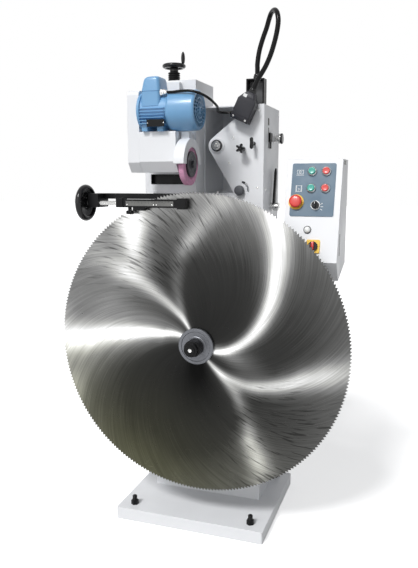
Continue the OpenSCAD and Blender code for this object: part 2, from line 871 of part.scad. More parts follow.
// Box casting with the slideway of the grinding head on its front
module head_column() color(enamel) difference() {
  union() {
    block([column_x0, head_column_front, column_top], [head_column_x1, head_column_back, head_column_top]);
    block([way_x - way_w / 2, head_column_front - way_t, head_z0 - way_below],
      [way_x + way_w / 2, head_column_front, way_top]);
  }
  // Room for the height screw and the nut arm of the head
  block([way_x - cavity_d / 2, height_screw_y - cavity_front, spindle_z - cavity_below],
    [way_x + cavity_d / 2, height_screw_y - cavity_front + cavity_d, cavity_top]);
  block([way_x - nut_arm_w / 2 - nut_arm_gap, head_column_front - way_t - cut,
    nut_z - head_down - head_nut_room],
    [way_x + nut_arm_w / 2 + nut_arm_gap, height_screw_y, nut_z + nut_arm_h + head_up + head_nut_room]);
  bore_z(cavity_top, head_column_top - cavity_top, height_screw_d + 2 * turn_gap, way_x, height_screw_y);
  // Dark recess under the head
  block([way_x - recess_left, head_column_front - cut, recess_top - recess_h],
    [way_x + recess_right, head_column_front + recess_d, recess_top]);
}

// Bridge that carries the rear rail on the column
module arm_bracket() color(black) difference() {
  block([bracket_x0, rail_gap + rail_t, rail_top - bracket_h],
    [bracket_x0 + bracket_w, column_front, rail_top]);
  block([bracket_x0 + bracket_wall, rail_gap + rail_t + bracket_wall, rail_top - bracket_h - cut],
    [bracket_x0 + bracket_w - bracket_wall, column_front - bracket_wall, rail_top - bracket_roof]);
}

// Rear rail, the block that joins it to the front, and the guide rod of the front rail
module rail_fork() color(black) difference() {
  union() {
    block([fork_x0, rail_gap, rail_top - rear_rail_h],
      [fork_x0 + fork_w + rear_rail_l, rail_gap + rail_t, rail_top]);
    block([fork_x0, -rail_gap - rail_t - fork_over, rail_top - fork_h],
      [fork_x0 + fork_w, rail_gap + rail_t, rail_top]);
    rod_x(fork_x0 + fork_w, front_rail_x0 + guide_over - fork_x0 - fork_w, guide_d, guide_y, feed_screw_z);
  }
  bore_x(fork_x0, fork_w, feed_screw_d + 2 * turn_gap, -rail_y, feed_screw_z);
}

// Front rail with its guide block, its end cap and the boss of the clamp knob
module front_rail() color(black) difference() {
  union() {
    block([front_rail_x0, -rail_gap - rail_t, front_rail_top - front_rail_h],
      [front_rail_x0 + front_rail_l, -rail_gap, front_rail_top]);
    block([front_rail_x0, -rail_gap - rail_t - rail_block_over, front_rail_top - front_rail_h],
      [front_rail_x0 + rail_block_l, guide_y + guide_d / 2 + guide_wall, front_rail_top + rail_block_over]);
    block([front_rail_x0 + front_rail_l, -rail_gap - rail_t - rail_cap_front,
      front_rail_top - front_rail_h - rail_cap_over],
      [front_rail_x0 + front_rail_l + rail_cap_l, -rail_gap, front_rail_top + rail_cap_over]);
    block([front_rail_x0 + rail_boss_x, -rail_gap - rail_t + rail_boss_inset,
      front_rail_top - front_rail_h - rail_boss_h],
      [front_rail_x0 + rail_boss_x + rail_boss_l, -rail_gap - rail_boss_inset,
        front_rail_top - front_rail_h]);
  }
  bore_x(front_rail_x0, rail_block_l, guide_d + 2 * turn_gap, guide_y, feed_screw_z);
  rod_x(front_rail_x0 - cut, feed_bore_l + cut, feed_screw_d + 2 * turn_gap, -rail_y, feed_screw_z);
  translate([clamp_x, -rail_y, front_rail_top - front_rail_h - cut])
    cylinder(d = clamp_stud_d + 2 * turn_gap, h = front_rail_h / 2);
}

module feed_screw() color(steel) rod_x(arm_wheel_x - arm_hub_l / 2, front_rail_x0 + feed_screw_l
  - arm_wheel_x + arm_hub_l / 2, feed_screw_d, -rail_y, feed_screw_z);

// Dished handwheel with a thick rim, turned about the feed screw
module arm_handwheel() color(black) translate([arm_wheel_x, -rail_y, feed_screw_z]) rotate([0, -90, 0])
  rotate_extrude() {
    translate([feed_screw_d / 2, soft_gap - arm_hub_l / 2])
      square([arm_hub_r - feed_screw_d / 2, arm_hub_l]);
    translate([feed_screw_d / 2, arm_web_z])
      square([arm_wheel_d / 2 - arm_rim_r - feed_screw_d / 2, arm_web_t]);
    translate([arm_wheel_d / 2 - 2 * arm_rim_r, 0]) square([2 * arm_rim_r, arm_rim_t]);
    for (z = [0, arm_rim_t]) translate([arm_wheel_d / 2 - arm_rim_r, z]) circle(arm_rim_r);
  }

// Knob under the front rail, whose stud ends just below the feed screw
module clamp_knob() color(black) translate([clamp_x, -rail_y, front_rail_top - front_rail_h]) {
  translate([0, 0, -soft_gap]) cylinder(d = clamp_stud_d, h = front_rail_h / 2 - feed_screw_d / 2);
  translate([0, 0, -clamp_neck_l]) cylinder(d = clamp_neck_d, h = clamp_neck_l - soft_gap);
  translate([0, 0, -clamp_neck_l - clamp_head_l]) cylinder(d = clamp_head_d, h = clamp_head_l);
}

// Arbor ------------------------------------------------------------------------

// Slide plate between its guides, with the bearing barrel in front and the nut arm behind
module arbor_slide() color(enamel) difference() {
  union() {
    block([-slide_w / 2, slide_front, arbor_z - slide_h / 2],
      [slide_w / 2, slide_back, arbor_z + slide_h / 2]);
    for (side = [-1, 1]) translate([side * slide_guide_x, 0, 0])
      block([-slide_guide_w / 2, slide_back, arbor_z - slide_h / 2],
        [slide_guide_w / 2, column_front - slide_gap, arbor_z + slide_h / 2]);
    rod_y(barrel_y0, slide_front - barrel_y0, barrel_d, 0, arbor_z);
    block([-nut_arm_w / 2, slide_back, arbor_z - nut_arm_h],
      [nut_arm_w / 2, nut_block_y, arbor_z + nut_arm_h]);
    block([-nut_block_r, nut_block_y, arbor_z - nut_arm_h],
      [nut_block_r, elevator_y + nut_block_r, arbor_z + nut_arm_h]);
  }
  rod_y(barrel_y0 - cut, slide_front - barrel_y0 + cut, arbor_bearing_d, 0, arbor_z);
  bore_z(arbor_z - nut_arm_h, 2 * nut_arm_h, elevator_d + 2 * turn_gap, 0, elevator_y);
}

module arbor_bearings() color(steel) for (y = [barrel_y0 + bearing_inset, slide_front - bearing_w])
  difference() {
    rod_y(y, bearing_w, arbor_bearing_d, 0, arbor_z);
    bore_y(y, bearing_w, arbor_d + 2 * turn_gap, 0, arbor_z);
  }

// Shaft in the bearings, and the thinner nose that carries the blade
module arbor_shaft() color(steel) {
  nose_y0 = -flange_y - front_flange_t - nut_l - arbor_nose_over;
  rod_y(flange_y + rear_flange_t, slide_front - flange_y - rear_flange_t - cut, arbor_d, 0, arbor_z);
  rod_y(nose_y0, flange_y + rear_flange_t - nose_y0, arbor_nose_d, 0, arbor_z);
}

module rear_flange() color(dark_steel) difference() {
  union() {
    rod_y(flange_y, rear_flange_t - rear_flange_step, rear_flange_d, 0, arbor_z);
    rod_y(flange_y + rear_flange_t - rear_flange_step, rear_flange_step, rear_flange_hub_d, 0, arbor_z);
  }
  bore_y(flange_y, rear_flange_t, arbor_nose_d, 0, arbor_z);
}

// Blade body with one tip and one gullet for each tooth
module saw_blade() color([0.62, 0.61, 0.58]) difference() {
  front_plate(-blade_t / 2, blade_t) translate([0, arbor_z]) polygon([for (i = [0 : tooth_count - 1])
    let (tip = 360 * i / tooth_count, gullet = 360 * (i + gullet_share) / tooth_count)
    each [on_circle([0, 0], blade_d / 2, tip), on_circle([0, 0], blade_d / 2 - tooth_h, gullet)]]);
  bore_y(-blade_t / 2, blade_t, arbor_nose_d, 0, arbor_z);
}

module front_flange() color([0.35, 0.35, 0.36]) difference() {
  rod_y(-flange_y - front_flange_t, front_flange_t, front_flange_d, 0, arbor_z);
  bore_y(-flange_y - front_flange_t, front_flange_t, arbor_nose_d, 0, arbor_z);
}

module clamp_nut() color(black) difference() {
  union() {
    rod_y(-flange_y - front_flange_t - nut_l + nut_nose_l, nut_l - nut_nose_l, nut_d, 0, arbor_z);
    rod_y(-flange_y - front_flange_t - nut_l, nut_nose_l, nut_nose_d, 0, arbor_z);
  }
  bore_y(-flange_y - front_flange_t - nut_l, nut_l, arbor_nose_d, 0, arbor_z);
}

// Grinding head ------------------------------------------------------------------

module head_side() polygon([[-head_front, head_z0 + head_chamfer], [-head_front, head_z1],
  [head_back, head_z1], [head_back, head_z0], [-head_front + chamfer_run, head_z0]]);

// Casting that slides on the head column, with the spindle bore and the nut arm
module head_housing() color(enamel) difference() {
  union() {
    difference() {
      side_plate(head_x0, head_w) head_side();
      block([way_x - way_w / 2 - slide_gap, head_column_front - way_t - slide_gap, head_z0 - cut],
        [way_x + way_w / 2 + slide_gap, head_back + cut, head_z1 + cut]);
    }
    block([way_x - nut_arm_w / 2, head_column_front - way_t - slide_gap, nut_z],
      [way_x + nut_arm_w / 2, height_screw_y + head_nut_r, nut_z + nut_arm_h]);
  }
  bore_x(head_x0, head_w, spindle_bearing_d, 0, spindle_z);
  bore_z(nut_z, nut_arm_h, height_screw_d + 2 * turn_gap, way_x, height_screw_y);
}

// Outline of the belt cover, moved inwards by inset
module belt_side(inset) {
  y0 = -head_front + inset;
  y1 = -head_front + belt_cover_d - inset;
  difference() {
    translate([y0, head_z0 + inset]) round_rect(y1 - y0, belt_top - head_z0 - 2 * inset, belt_cover_r);
    translate([y0 - cut, head_z0 - cut])
      polygon([[0, 0], [chamfer_run + cut, 0], [0, head_chamfer + inset]]);
  }
}

module belt_cover() color(enamel) difference() {
  side_plate(belt_x0, belt_cover_w) belt_side(0);
  side_plate(belt_x0 + belt_cover_wall, belt_cover_w - 2 * belt_cover_wall) belt_side(belt_cover_wall);
  bore_x(head_x0 - belt_cover_wall, belt_cover_wall, spindle_d + 2 * cover_hole_gap, 0, spindle_z);
  bore_x(head_x0 - belt_cover_wall, belt_cover_wall, motor_shaft_d + 2 * cover_hole_gap, motor_y, motor_z);
}

module belt_loop(extra) hull() {
  translate([motor_y, motor_z]) circle(motor_pulley_r + extra);
  translate([0, spindle_z]) circle(spindle_pulley_r + extra);
}

module drive_belt() color(black) side_plate(belt_x, belt_w) difference() {
  belt_loop(belt_t);
  belt_loop(belt_gap);
}

// Motor frame with its end shield, cooling ribs and feet
module motor_body() color(motor_blue) difference() {
  union() {
    rod_x(motor_x0, motor_l, motor_d, motor_y, motor_z);
    rod_x(motor_x0, shield_t, motor_d + 2 * shield_over, motor_y, motor_z);
    for (z = [rib_low : rib_pitch : rib_high])
      block([motor_x0 + shield_t, motor_y - motor_d / 2 - rib_h, motor_z + z],
        [motor_x1 - rib_end, motor_y + motor_d / 2 + rib_h, motor_z + z + rib_t]);
    for (x = [motor_x0 + foot_first, motor_x1 - foot_last])
      block([x, motor_y - foot_w / 2, head_z1], [x + foot_l, motor_y + foot_w / 2, head_z1 + foot_h]);
  }
  rod_x(motor_x0 + shield_t, motor_l - 2 * shield_t, rotor_d + 2 * rotor_gap, motor_y, motor_z);
  bore_x(motor_x0, motor_l, motor_shaft_d + 2 * turn_gap, motor_y, motor_z);
}

// Sheet cowl with rings of round grille holes in its end
module fan_cowl() color(motor_blue) difference() {
  rod_x(motor_x1, cowl_l, cowl_d, motor_y, motor_z);
  rod_x(motor_x1 - cut, cowl_l - cowl_wall + cut, cowl_d - 2 * cowl_wall, motor_y, motor_z);
  for (ring = [1 : grille_rings], k = [0 : 6 * ring - 1]) let (a = 60 * k / ring)
    rod_x(cowl_x1 - grille_depth, grille_depth + cut, grille_hole_d,
      motor_y + grille_pitch * ring * cos(a), motor_z + grille_pitch * ring * sin(a));
}

module terminal_box() color(motor_blue) difference() {
  translate([terminal_x0, terminal_y0, terminal_z0]) linear_extrude(motor_z + terminal_top - terminal_z0)
    round_rect(terminal_w, terminal_d, terminal_r);
  bore_x(terminal_x0, terminal_w, motor_d, motor_y, motor_z);
}

module motor_gland() color(steel) {
  rod_x(terminal_x1, gland_nut_l, gland_nut_d, gland_y, gland_z);
  rod_x(terminal_x1 + gland_nut_l, gland_cap_l, gland_cap_d,
    gland_y, gland_z);
}

// Half ring over the wheel
module guard_band(x0, l, r_out, r_in) side_plate(x0, l) translate([0, spindle_z]) difference() {
  circle(r_out);
  circle(r_in);
  translate([-2 * r_out, -2 * r_out]) square([4 * r_out, 2 * r_out]);
}

// Rim, two cheeks, the root on the head casting and the neck above
module wheel_guard() color(enamel) {
  guard_band(guard_x0 + guard_wall, guard_w - 2 * guard_wall, guard_r, guard_r - guard_rim);
  guard_band(guard_x0, guard_wall, guard_r, spindle_d / 2 + guard_hole_gap);
  guard_band(head_x1, guard_x0 - head_x1, guard_root_r, spindle_bearing_d / 2 + guard_root_gap);
  guard_band(guard_x1 - guard_wall, guard_wall, guard_r, guard_eye_r);
  difference() {
    block([guard_x0, -guard_neck_w / 2, guard_neck_z],
      [guard_x0 + guard_neck_t, guard_neck_w / 2, head_z1]);
    bore_x(guard_x0, guard_w, 2 * guard_r, 0, spindle_z);
  }
}

module spindle_bearings() color(steel) {
  first = head_x0 + spindle_bearing_inset;
  last = head_x1 - spindle_bearing_inset - spindle_bearing_t;
  for (x = [first, last]) difference() {
    rod_x(x, spindle_bearing_t, spindle_bearing_d, 0, spindle_z);
    bore_x(x, spindle_bearing_t, spindle_d + 2 * turn_gap, 0, spindle_z);
  }
}

// Spindle with the two flanges and the nut that clamp the wheel
module spindle() color(dark_steel) {
  rod_x(belt_x - spindle_over, wheel_x0 - wheel_hub_t - belt_x + spindle_over, spindle_d, 0, spindle_z);
  rod_x(wheel_x0 - wheel_hub_t, wheel_hub_t, wheel_hub_d, 0, spindle_z);
  rod_x(wheel_x0, wheel_t, wheel_bore, 0, spindle_z);
  rod_x(wheel_x1, wheel_flange_t, wheel_flange_d, 0, spindle_z);
  rod_x(wheel_x1 + wheel_flange_t, wheel_nut_l, wheel_nut_d, 0, spindle_z);
}

module spindle_pulley() color(steel) difference() {
  rod_x(belt_x, belt_w, 2 * spindle_pulley_r, 0, spindle_z);
  bore_x(belt_x, belt_w, spindle_d, 0, spindle_z);
}

module grinding_wheel() color([0.93, 0.6, 0.78]) difference() {
  rod_x(wheel_x0, wheel_t, wheel_d, 0, spindle_z);
  bore_x(wheel_x0, wheel_t, wheel_bore, 0, spindle_z);
}

// Rotor on its shaft, with the pulley at one end and the fan at the other
module motor_rotor() color(steel) {
  rod_x(belt_x, belt_w, 2 * motor_pulley_r, motor_y, motor_z);
  rod_x(belt_x + belt_w, fan_x - belt_x - belt_w, motor_shaft_d, motor_y, motor_z);
  rod_x(motor_x0 + shield_t + rotor_end, motor_l - 2 * (shield_t + rotor_end), rotor_d, motor_y, motor_z);
  rod_x(fan_x, fan_disc_t, fan_disc_d, motor_y, motor_z);
  for (a = [0 : 45 : 359]) translate([fan_x + fan_disc_t, motor_y, motor_z]) rotate([a, 0, 0])
    translate([0, fan_hub_r, -fan_blade_t / 2])
      cube([fan_blade_l, cowl_d / 2 - 2 * fan_hub_r, fan_blade_t]);
}

// Height adjustment ------------------------------------------------------------------

// Collar with grooves, round the height screw
module screw_collar() color(black) difference() {
  step = collar_h / collar_steps;
  union() for (k = [0 : collar_steps - 1]) translate([way_x, height_screw_y, head_column_top + k * step]) {
    cylinder(d = collar_d - 2 * collar_groove, h = step);
    cylinder(d = collar_d, h = step / 2);
  }
  bore_z(head_column_top, collar_h, height_screw_d + 2 * turn_gap, way_x, height_screw_y);
}

module height_screw() color(steel) translate([way_x, height_screw_y, spindle_z - height_screw_below])
  cylinder(d = height_screw_d, h = top_wheel_z + top_hub_h - spindle_z + height_screw_below);

// Handwheel on the height screw, with the pin of the crank grip
module top_handwheel() color(black) translate([way_x, height_screw_y, top_wheel_z]) {
  rotate_extrude() {
    translate([height_screw_d / 2, soft_gap - top_hub_h]) square([top_hub_t, 2 * top_hub_h - soft_gap]);
    translate([height_screw_d / 2, top_web_z]) square([grip_x - height_screw_d / 2, top_web_t]);
    translate([grip_x, top_web_t]) circle(top_rim_r);
  }
  translate([grip_x, 0, top_web_t]) cylinder(d = grip_pin_d, h = top_web_t + grip_l);
}

module crank_grip() color(black)
  translate([way_x + grip_x, height_screw_y, top_wheel_z + grip_foot + soft_gap]) difference() {
    union() {
      cylinder(d = grip_d, h = grip_barrel_l);
      translate([0, 0, grip_barrel_l]) cylinder(d = grip_end_d, h = grip_end_l);
    }
    bore_z(0, grip_l, grip_pin_d + 2 * turn_gap, 0, 0);
  }

// Control box --------------------------------------------------------------------------

// Side outline of the box, moved inwards by w
module box_side(w) polygon([[box_top_y + w, box_top_z - w], [box_back_y - w, box_top_z - w],
  [box_back_y - w, box_back_z + w], [box_heel_y, box_heel_z + w], [box_foot_y + w, box_foot_z]]);

// Holes for the stems of every device that turns or is pushed
module stem_holes() for (p = [[start_x, upper_s], [start_x, lower_s], [stop_x, upper_s], [stop_x, lower_s],
  [estop_x, estop_s], [selector_x, selector_s], [switch_x, switch_s]])
  on_panel(p[0], p[1]) translate([0, 0, -hole_depth]) cylinder(d = stem_hole_d, h = 2 * hole_depth);

module control_box() color(enamel) difference() {
  side_plate(box_x0, box_w) box_side(0);
  side_plate(box_x0 + box_wall, box_w - 2 * box_wall) box_side(box_wall);
  stem_holes();
}

// Square arm from the column to the box
module control_arm() color(enamel) block([column_x1, box_back_y - arm_back - arm_size, arm_z],
  [box_x0, box_back_y - arm_back, arm_z + arm_size]);

module control_panel() color([0.33, 0.42, 0.5]) difference() {
  on_panel(box_x0 + panel_left, panel_drop + panel_h)
    linear_extrude(panel_t) round_rect(panel_w, panel_h, panel_r);
  stem_holes();
}

module ring(d_out, d_in, h) difference() {
  cylinder(d = d_out, h = h);
  bore_z(0, h, d_in, 0, 0);
}

// Fixed rings of the buttons, the stop and the selector, the lamp, and the plate of the main switch
module panel_bezels() color(steel) {
  for (x = [start_x, stop_x], s = [upper_s, lower_s])
    on_panel(x, s) translate([0, 0, panel_t]) ring(bezel_d, button_d + 2 * soft_gap, bezel_h);
  on_panel(estop_x, estop_s) translate([0, 0, panel_t]) ring(stop_ring_d, stem_hole_d, plain_ring_h);
  on_panel(selector_x, selector_s) translate([0, 0, panel_t]) ring(bezel_d, stem_hole_d, plain_ring_h);
  on_panel(lamp_x, lamp_s) cylinder(d = lamp_d, h = lamp_h);
  on_panel(switch_x, switch_s) difference() {
    translate([-switch_plate / 2, -switch_plate / 2, 0]) linear_extrude(switch_plate_t)
      round_rect(switch_plate, switch_plate, switch_plate_t);
    bore_z(0, switch_plate_t, stem_hole_d, 0, 0);
  }
}

// Stem of a device, from inside the box up to its head at height h
module stem(h) translate([0, 0, -stem_l]) cylinder(d = stem_d, h = stem_l + h);

module push_button(x, s) on_panel(x, s) translate([0, 0, panel_t]) {
  translate([0, 0, button_lift]) cylinder(d = button_d, h = button_h);
  stem(button_lift);
}

module start_button_upper() color([0.1, 0.6, 0.5]) push_button(start_x, upper_s);
module start_button_lower() color([0.1, 0.6, 0.5]) push_button(start_x, lower_s);
module stop_button_upper() color([0.85, 0.2, 0.18]) push_button(stop_x, upper_s);
module stop_button_lower() color([0.85, 0.2, 0.18]) push_button(stop_x, lower_s);

module emergency_stop() color([0.85, 0.2, 0.18]) on_panel(estop_x, estop_s) translate([0, 0, panel_t]) {
  translate([0, 0, stop_lift]) cylinder(d = stop_head_d, h = stop_head_h);
  stem(stop_lift);
}

module selector_knob() color(black) on_panel(selector_x, selector_s) translate([0, 0, panel_t]) {
  foot = plain_ring_h + soft_gap;
  translate([0, 0, foot]) cylinder(d = selector_d, h = selector_base_h);
  translate([-selector_bar_w / 2, -selector_d / 2, foot + selector_base_h])
    cube([selector_bar_w, selector_d, selector_bar_h]);
  stem(foot);
}

module main_switch_knob() color([0.8, 0.16, 0.14]) on_panel(switch_x, switch_s) {
  foot = switch_plate_t + soft_gap;
  translate([0, 0, foot]) cylinder(d = switch_d, h = switch_base_h);
  translate([-switch_bar_w / 2, -switch_d / 2, foot + switch_base_h])
    cube([switch_bar_w, switch_d, switch_bar_h]);
  stem(foot);
}

base_plate();
levelling_screws();
column();
rear_cover();
upper_housing();
front_cover_plate();
boss_bearing();
head_column();
arm_bracket();
rail_fork();
cable_duct();
connector_hood();
cable_glands();
loop_cable();
motor_cable();
control_arm();
control_box();
control_panel();
panel_bezels();
screw_collar();
arbor_slide();
arbor_bearings();
elevating_screw();
arbor_shaft();
rear_flange();
saw_blade();
front_flange();
clamp_nut();
head_housing();
belt_cover();
drive_belt();
motor_body();
fan_cowl();
terminal_box();
motor_gland();
wheel_guard();
spindle_bearings();
spindle();
spindle_pulley();
grinding_wheel();
motor_rotor();
height_screw();
top_handwheel();
crank_grip();
front_rail();
feed_screw();
arm_handwheel();
clamp_knob();
star_knob();
wing_knob();
slot_knob();
side_lever();
side_knob();
start_button_upper();
start_button_lower();
stop_button_upper();
stop_button_lower();
emergency_stop();
selector_knob();
main_switch_knob();
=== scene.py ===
# A wet grinding sharpener for large circular saw blades: a column on a base plate carries the
# arbor with the blade, the grinding head with its motor, the feed housing and the control box.
import json

import bmesh
import bpy
import numpy as np
from mathutils import Matrix, Vector

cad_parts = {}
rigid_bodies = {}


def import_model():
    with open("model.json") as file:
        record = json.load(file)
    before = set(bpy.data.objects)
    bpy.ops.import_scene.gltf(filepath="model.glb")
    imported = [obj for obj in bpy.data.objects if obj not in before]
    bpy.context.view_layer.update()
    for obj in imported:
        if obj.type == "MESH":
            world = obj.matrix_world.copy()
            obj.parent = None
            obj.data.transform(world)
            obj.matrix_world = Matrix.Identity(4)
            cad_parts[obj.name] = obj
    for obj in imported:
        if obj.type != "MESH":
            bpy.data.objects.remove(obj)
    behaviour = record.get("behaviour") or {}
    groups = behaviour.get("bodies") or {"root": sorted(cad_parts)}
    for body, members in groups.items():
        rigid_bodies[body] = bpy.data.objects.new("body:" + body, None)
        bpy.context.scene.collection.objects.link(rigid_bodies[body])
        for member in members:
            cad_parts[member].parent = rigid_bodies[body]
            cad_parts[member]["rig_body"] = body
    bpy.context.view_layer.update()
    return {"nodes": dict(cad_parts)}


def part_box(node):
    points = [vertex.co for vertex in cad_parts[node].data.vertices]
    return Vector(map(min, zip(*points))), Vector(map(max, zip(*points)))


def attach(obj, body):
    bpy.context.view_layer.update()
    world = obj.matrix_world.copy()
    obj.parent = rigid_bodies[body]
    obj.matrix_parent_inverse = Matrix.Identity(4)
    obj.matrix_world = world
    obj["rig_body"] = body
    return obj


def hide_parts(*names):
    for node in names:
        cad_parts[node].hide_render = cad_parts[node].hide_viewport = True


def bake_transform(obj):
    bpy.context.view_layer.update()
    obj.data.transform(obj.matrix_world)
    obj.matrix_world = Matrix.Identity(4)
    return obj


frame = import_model()

# ---- Camera ----
# Stands in front of the machine and to its right, a little above the arbor, and looks down
# at it by nine degrees with a slightly long lens.
view = bpy.data.cameras.new("camera")
view.sensor_fit = "VERTICAL"
view.sensor_height = 36
view.sensor_width = 36
view.lens = 40.424
camera = bpy.data.objects.new("camera", view)
camera.location = (0.69616, -1.91021, 1.17796)
camera.rotation_euler = np.radians((90 - 9.11, 0, 18.91))
bpy.context.scene.collection.objects.link(camera)
bpy.context.scene.camera = camera

# ---- Loop cable ----
# Thick cable in a black rubber jacket. It rises out of the gland on the duct, turns over in a
# narrow standing loop and comes down into the connector hood on the front cover plate.
LOOP_ROUTE = np.array([
    (137, 216, 1530), (137, 216, 1547), (137, 216, 1564), (142, 218, 1602), (153, 221, 1642),
    (165, 220, 1673), (174, 213, 1696), (183, 202, 1711), (195, 186, 1717), (207, 169, 1712),
    (216, 156, 1697), (220, 149, 1674), (217, 147, 1645), (209, 148, 1612), (197, 151, 1577),
    (181, 156, 1545), (165, 160, 1521), (154, 162, 1506), (147, 162, 1491), (140, 162, 1476),
])
LOOP_D = 16
X, Y, Z = np.eye(3)  # to the right, to the back and up


def plugged(tree, node, inputs):
    """Fills a node's inputs, by name or number: outputs are linked, other values are held."""
    for key, value in inputs.items():
        if isinstance(value, bpy.types.NodeSocket):
            tree.links.new(value, node.inputs[key])
        else:
            node.inputs[key].default_value = value


def wired(tree, kind, inputs=None, **settings):
    """Adds a shader node of a kind to a tree, with its own settings, and fills its inputs."""
    node = tree.nodes.new("ShaderNode" + kind)
    for key, value in settings.items():
        setattr(node, key, value)
    plugged(tree, node, inputs or {})
    return node


def surface(name, colour, rough, grain=(300, 0.05), mottle=(4, 0.04), metal=0.0, coat=0.0,
            gloss=0.5):
    """A painted, moulded or machined finish. A cloud of mottle[0] cycles per metre moves its
    colour between 1 - mottle[1] and 1 + mottle[1] times the plain one, a finer cloud moves its
    roughness by a fifth, and a noise of grain[0] cycles is its bump, of strength grain[1]."""
    made = bpy.data.materials.new(name)
    made.use_nodes = True
    tree = made.node_tree
    place = wired(tree, "TexCoord").outputs["Object"]

    def cloud(scale, detail, low, high):
        noise = wired(tree, "TexNoise", {"Vector": place, "Scale": scale, "Detail": detail})
        spread = {"Value": noise.outputs["Fac"], "From Min": 0.3, "From Max": 0.7,
                  "To Min": low, "To Max": high}
        return wired(tree, "MapRange", spread).outputs["Result"]

    dark, pale = ((*[min(1, c * (1 + way * mottle[1])) for c in colour], 1) for way in (-1, 1))
    tint = wired(tree, "Mix", {"Factor": cloud(mottle[0], 4, 0, 1), "A": dark, "B": pale},
                 data_type="RGBA")
    bump = wired(tree, "Bump", {"Strength": grain[1], "Distance": 0.001,
                                "Height": cloud(grain[0], 2, 0, 1)})
    plugged(tree, tree.nodes["Principled BSDF"], {
        "Base Color": tint.outputs["Result"], "Normal": bump.outputs["Normal"],
        "Roughness": cloud(mottle[0] * 5, 3, rough * 0.8, rough * 1.2), "Metallic": metal,
        "Specular IOR Level": gloss, "Coat Weight": coat, "Coat Roughness": 0.12})
    return made


def set_out(name, mesh, work, material, body, node, smooth):
    """Writes a work mesh into a mesh, smooths the faces that meet at less than an angle, and
    makes the piece. It rides on its body and stands for a CAD node, where they are given. Its
    one material slot holds the material."""
    work.to_mesh(mesh)
    work.free()
    mesh.polygons.foreach_set("use_smooth", np.ones(len(mesh.polygons), bool))
    mesh.set_sharp_from_angle(angle=np.radians(smooth))
    mesh.materials.append(material)
    piece = bpy.data.objects.new(name, mesh)
    bpy.context.scene.collection.objects.link(piece)
    if body:
        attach(piece, body)
    if node:
        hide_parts(node)
    return piece


def meshed(name, points, faces, material, body, slot=None, node=None, smooth=30):
    """A piece from points in millimetres and faces, its closed shells pointed outwards."""
    mesh = bpy.data.meshes.new(name)
    mesh.from_pydata((np.asarray(points, float).reshape(-1, 3) / 1000).tolist(), [], faces)
    work = bmesh.new()
    work.from_mesh(mesh)
    bmesh.ops.remove_doubles(work, verts=work.verts, dist=1e-6)
    bmesh.ops.dissolve_degenerate(work, edges=work.edges, dist=1e-7)
    bmesh.ops.recalc_face_normals(work, faces=work.faces)
    return set_out(name, mesh, work, material, body, node, smooth)


def lofted(rings, first=0, capped=True):
    """Faces of a skin over rings of equally many points, numbered from first: quads from each
    ring to the next, and a flat face over the first and the last ring if it is capped."""
    count, sides = len(rings), len(rings[0])
    i, k = np.meshgrid(np.arange(count - 1), np.arange(sides), indexing="ij")
    a, b = i * sides + k, i * sides + (k + 1) % sides
    faces = (np.stack([a, b, b + sides, a + sides], -1).reshape(-1, 4) + first).tolist()
    if capped:
        faces += [list(range(first + sides - 1, first - 1, -1))]
        faces += [list(range(first + (count - 1) * sides, first + count * sides))]
    return faces


def skinned(name, parts, material, body, slot=None, node=None, smooth=30, capped=True):
    """A piece made of one or more parts, each a stack of rings that lofted() skins."""
    points, faces, first = [], [], 0
    for rings in parts:
        faces += lofted(rings, first, capped)
        points.append(np.asarray(rings).reshape(-1, 3))
        first += len(points[-1])
    return meshed(name, np.vstack(points), faces, material, body, slot, node, smooth)


def eased(route, step=4):
    """Points on the Catmull-Rom curve through a route: on each stretch the cubic whose slope at
    a point is half the way from the point before it to the point after it."""
    p = np.vstack([2 * route[0] - route[1], route, 2 * route[-1] - route[-2]])
    t = (np.arange(step) / step)[None, :, None]
    a, b, c, d = (p[i : len(p) - 3 + i][:, None] for i in range(4))
    curve = 0.5 * (2 * b + (c - a) * t + (2 * a - 5 * b + 4 * c - d) * t**2
                   + (3 * b - a - 3 * c + d) * t**3)
    return np.vstack([curve.reshape(-1, 3), route[-1]])


def hose(path, radius, sides=20):
    """Rings round a path: circle k stands square to the path at point k, with its start carried
    along from ring to ring so that the skin doesn't twist."""
    way = np.gradient(path, axis=0)
    way /= np.linalg.norm(way, axis=1)[:, None]
    side = np.cross(way[0], (0.31, 0.17, 0.94) if abs(way[0][2]) < 0.9 else (1, 0, 0.1))
    sides_of = []
    for w in way:
        side = side - w * (side @ w)
        side /= np.linalg.norm(side)
        sides_of.append(side)
    u = np.array(sides_of)[:, None]
    v = np.cross(way, u[:, 0])[:, None]
    turn = np.linspace(0, 2 * np.pi, sides, endpoint=False)[None, :, None]
    return path[:, None] + radius * (np.cos(turn) * u + np.sin(turn) * v)


black_rubber = surface("black_rubber", (0.003, 0.003, 0.0035), 0.22, grain=(500, 0.06),
                       mottle=(9, 0.3), gloss=0.14)
loop_path = eased(LOOP_ROUTE)
loop = skinned("loop_cable_jacket", [hose(loop_path, LOOP_D / 2)], black_rubber, "machine",
               node="loop_cable", smooth=38)

# ---- Motor cable ----
# Supply cable of the grinding motor: out of the gland on the terminal box, past the fan cowl,
# then back and down into the side of the connector hood, with slack for the head's travel.
MOTOR_ROUTE = np.array([
    (-75, -52, 1447), (-65, -52, 1447), (-55, -52, 1447), (-36, -54, 1448), (-16, -57, 1448),
    (2, -59, 1447), (20, -57, 1443), (36, -48, 1437), (47, -32, 1430), (53, -10, 1423),
    (54, 16, 1417), (52, 44, 1413), (46, 72, 1410), (38, 98, 1408), (31, 118, 1406),
    (28, 131, 1405), (31, 144, 1404), (39, 155, 1403), (49, 161, 1403), (60, 162, 1403),
])
MOTOR_CABLE_D = 8

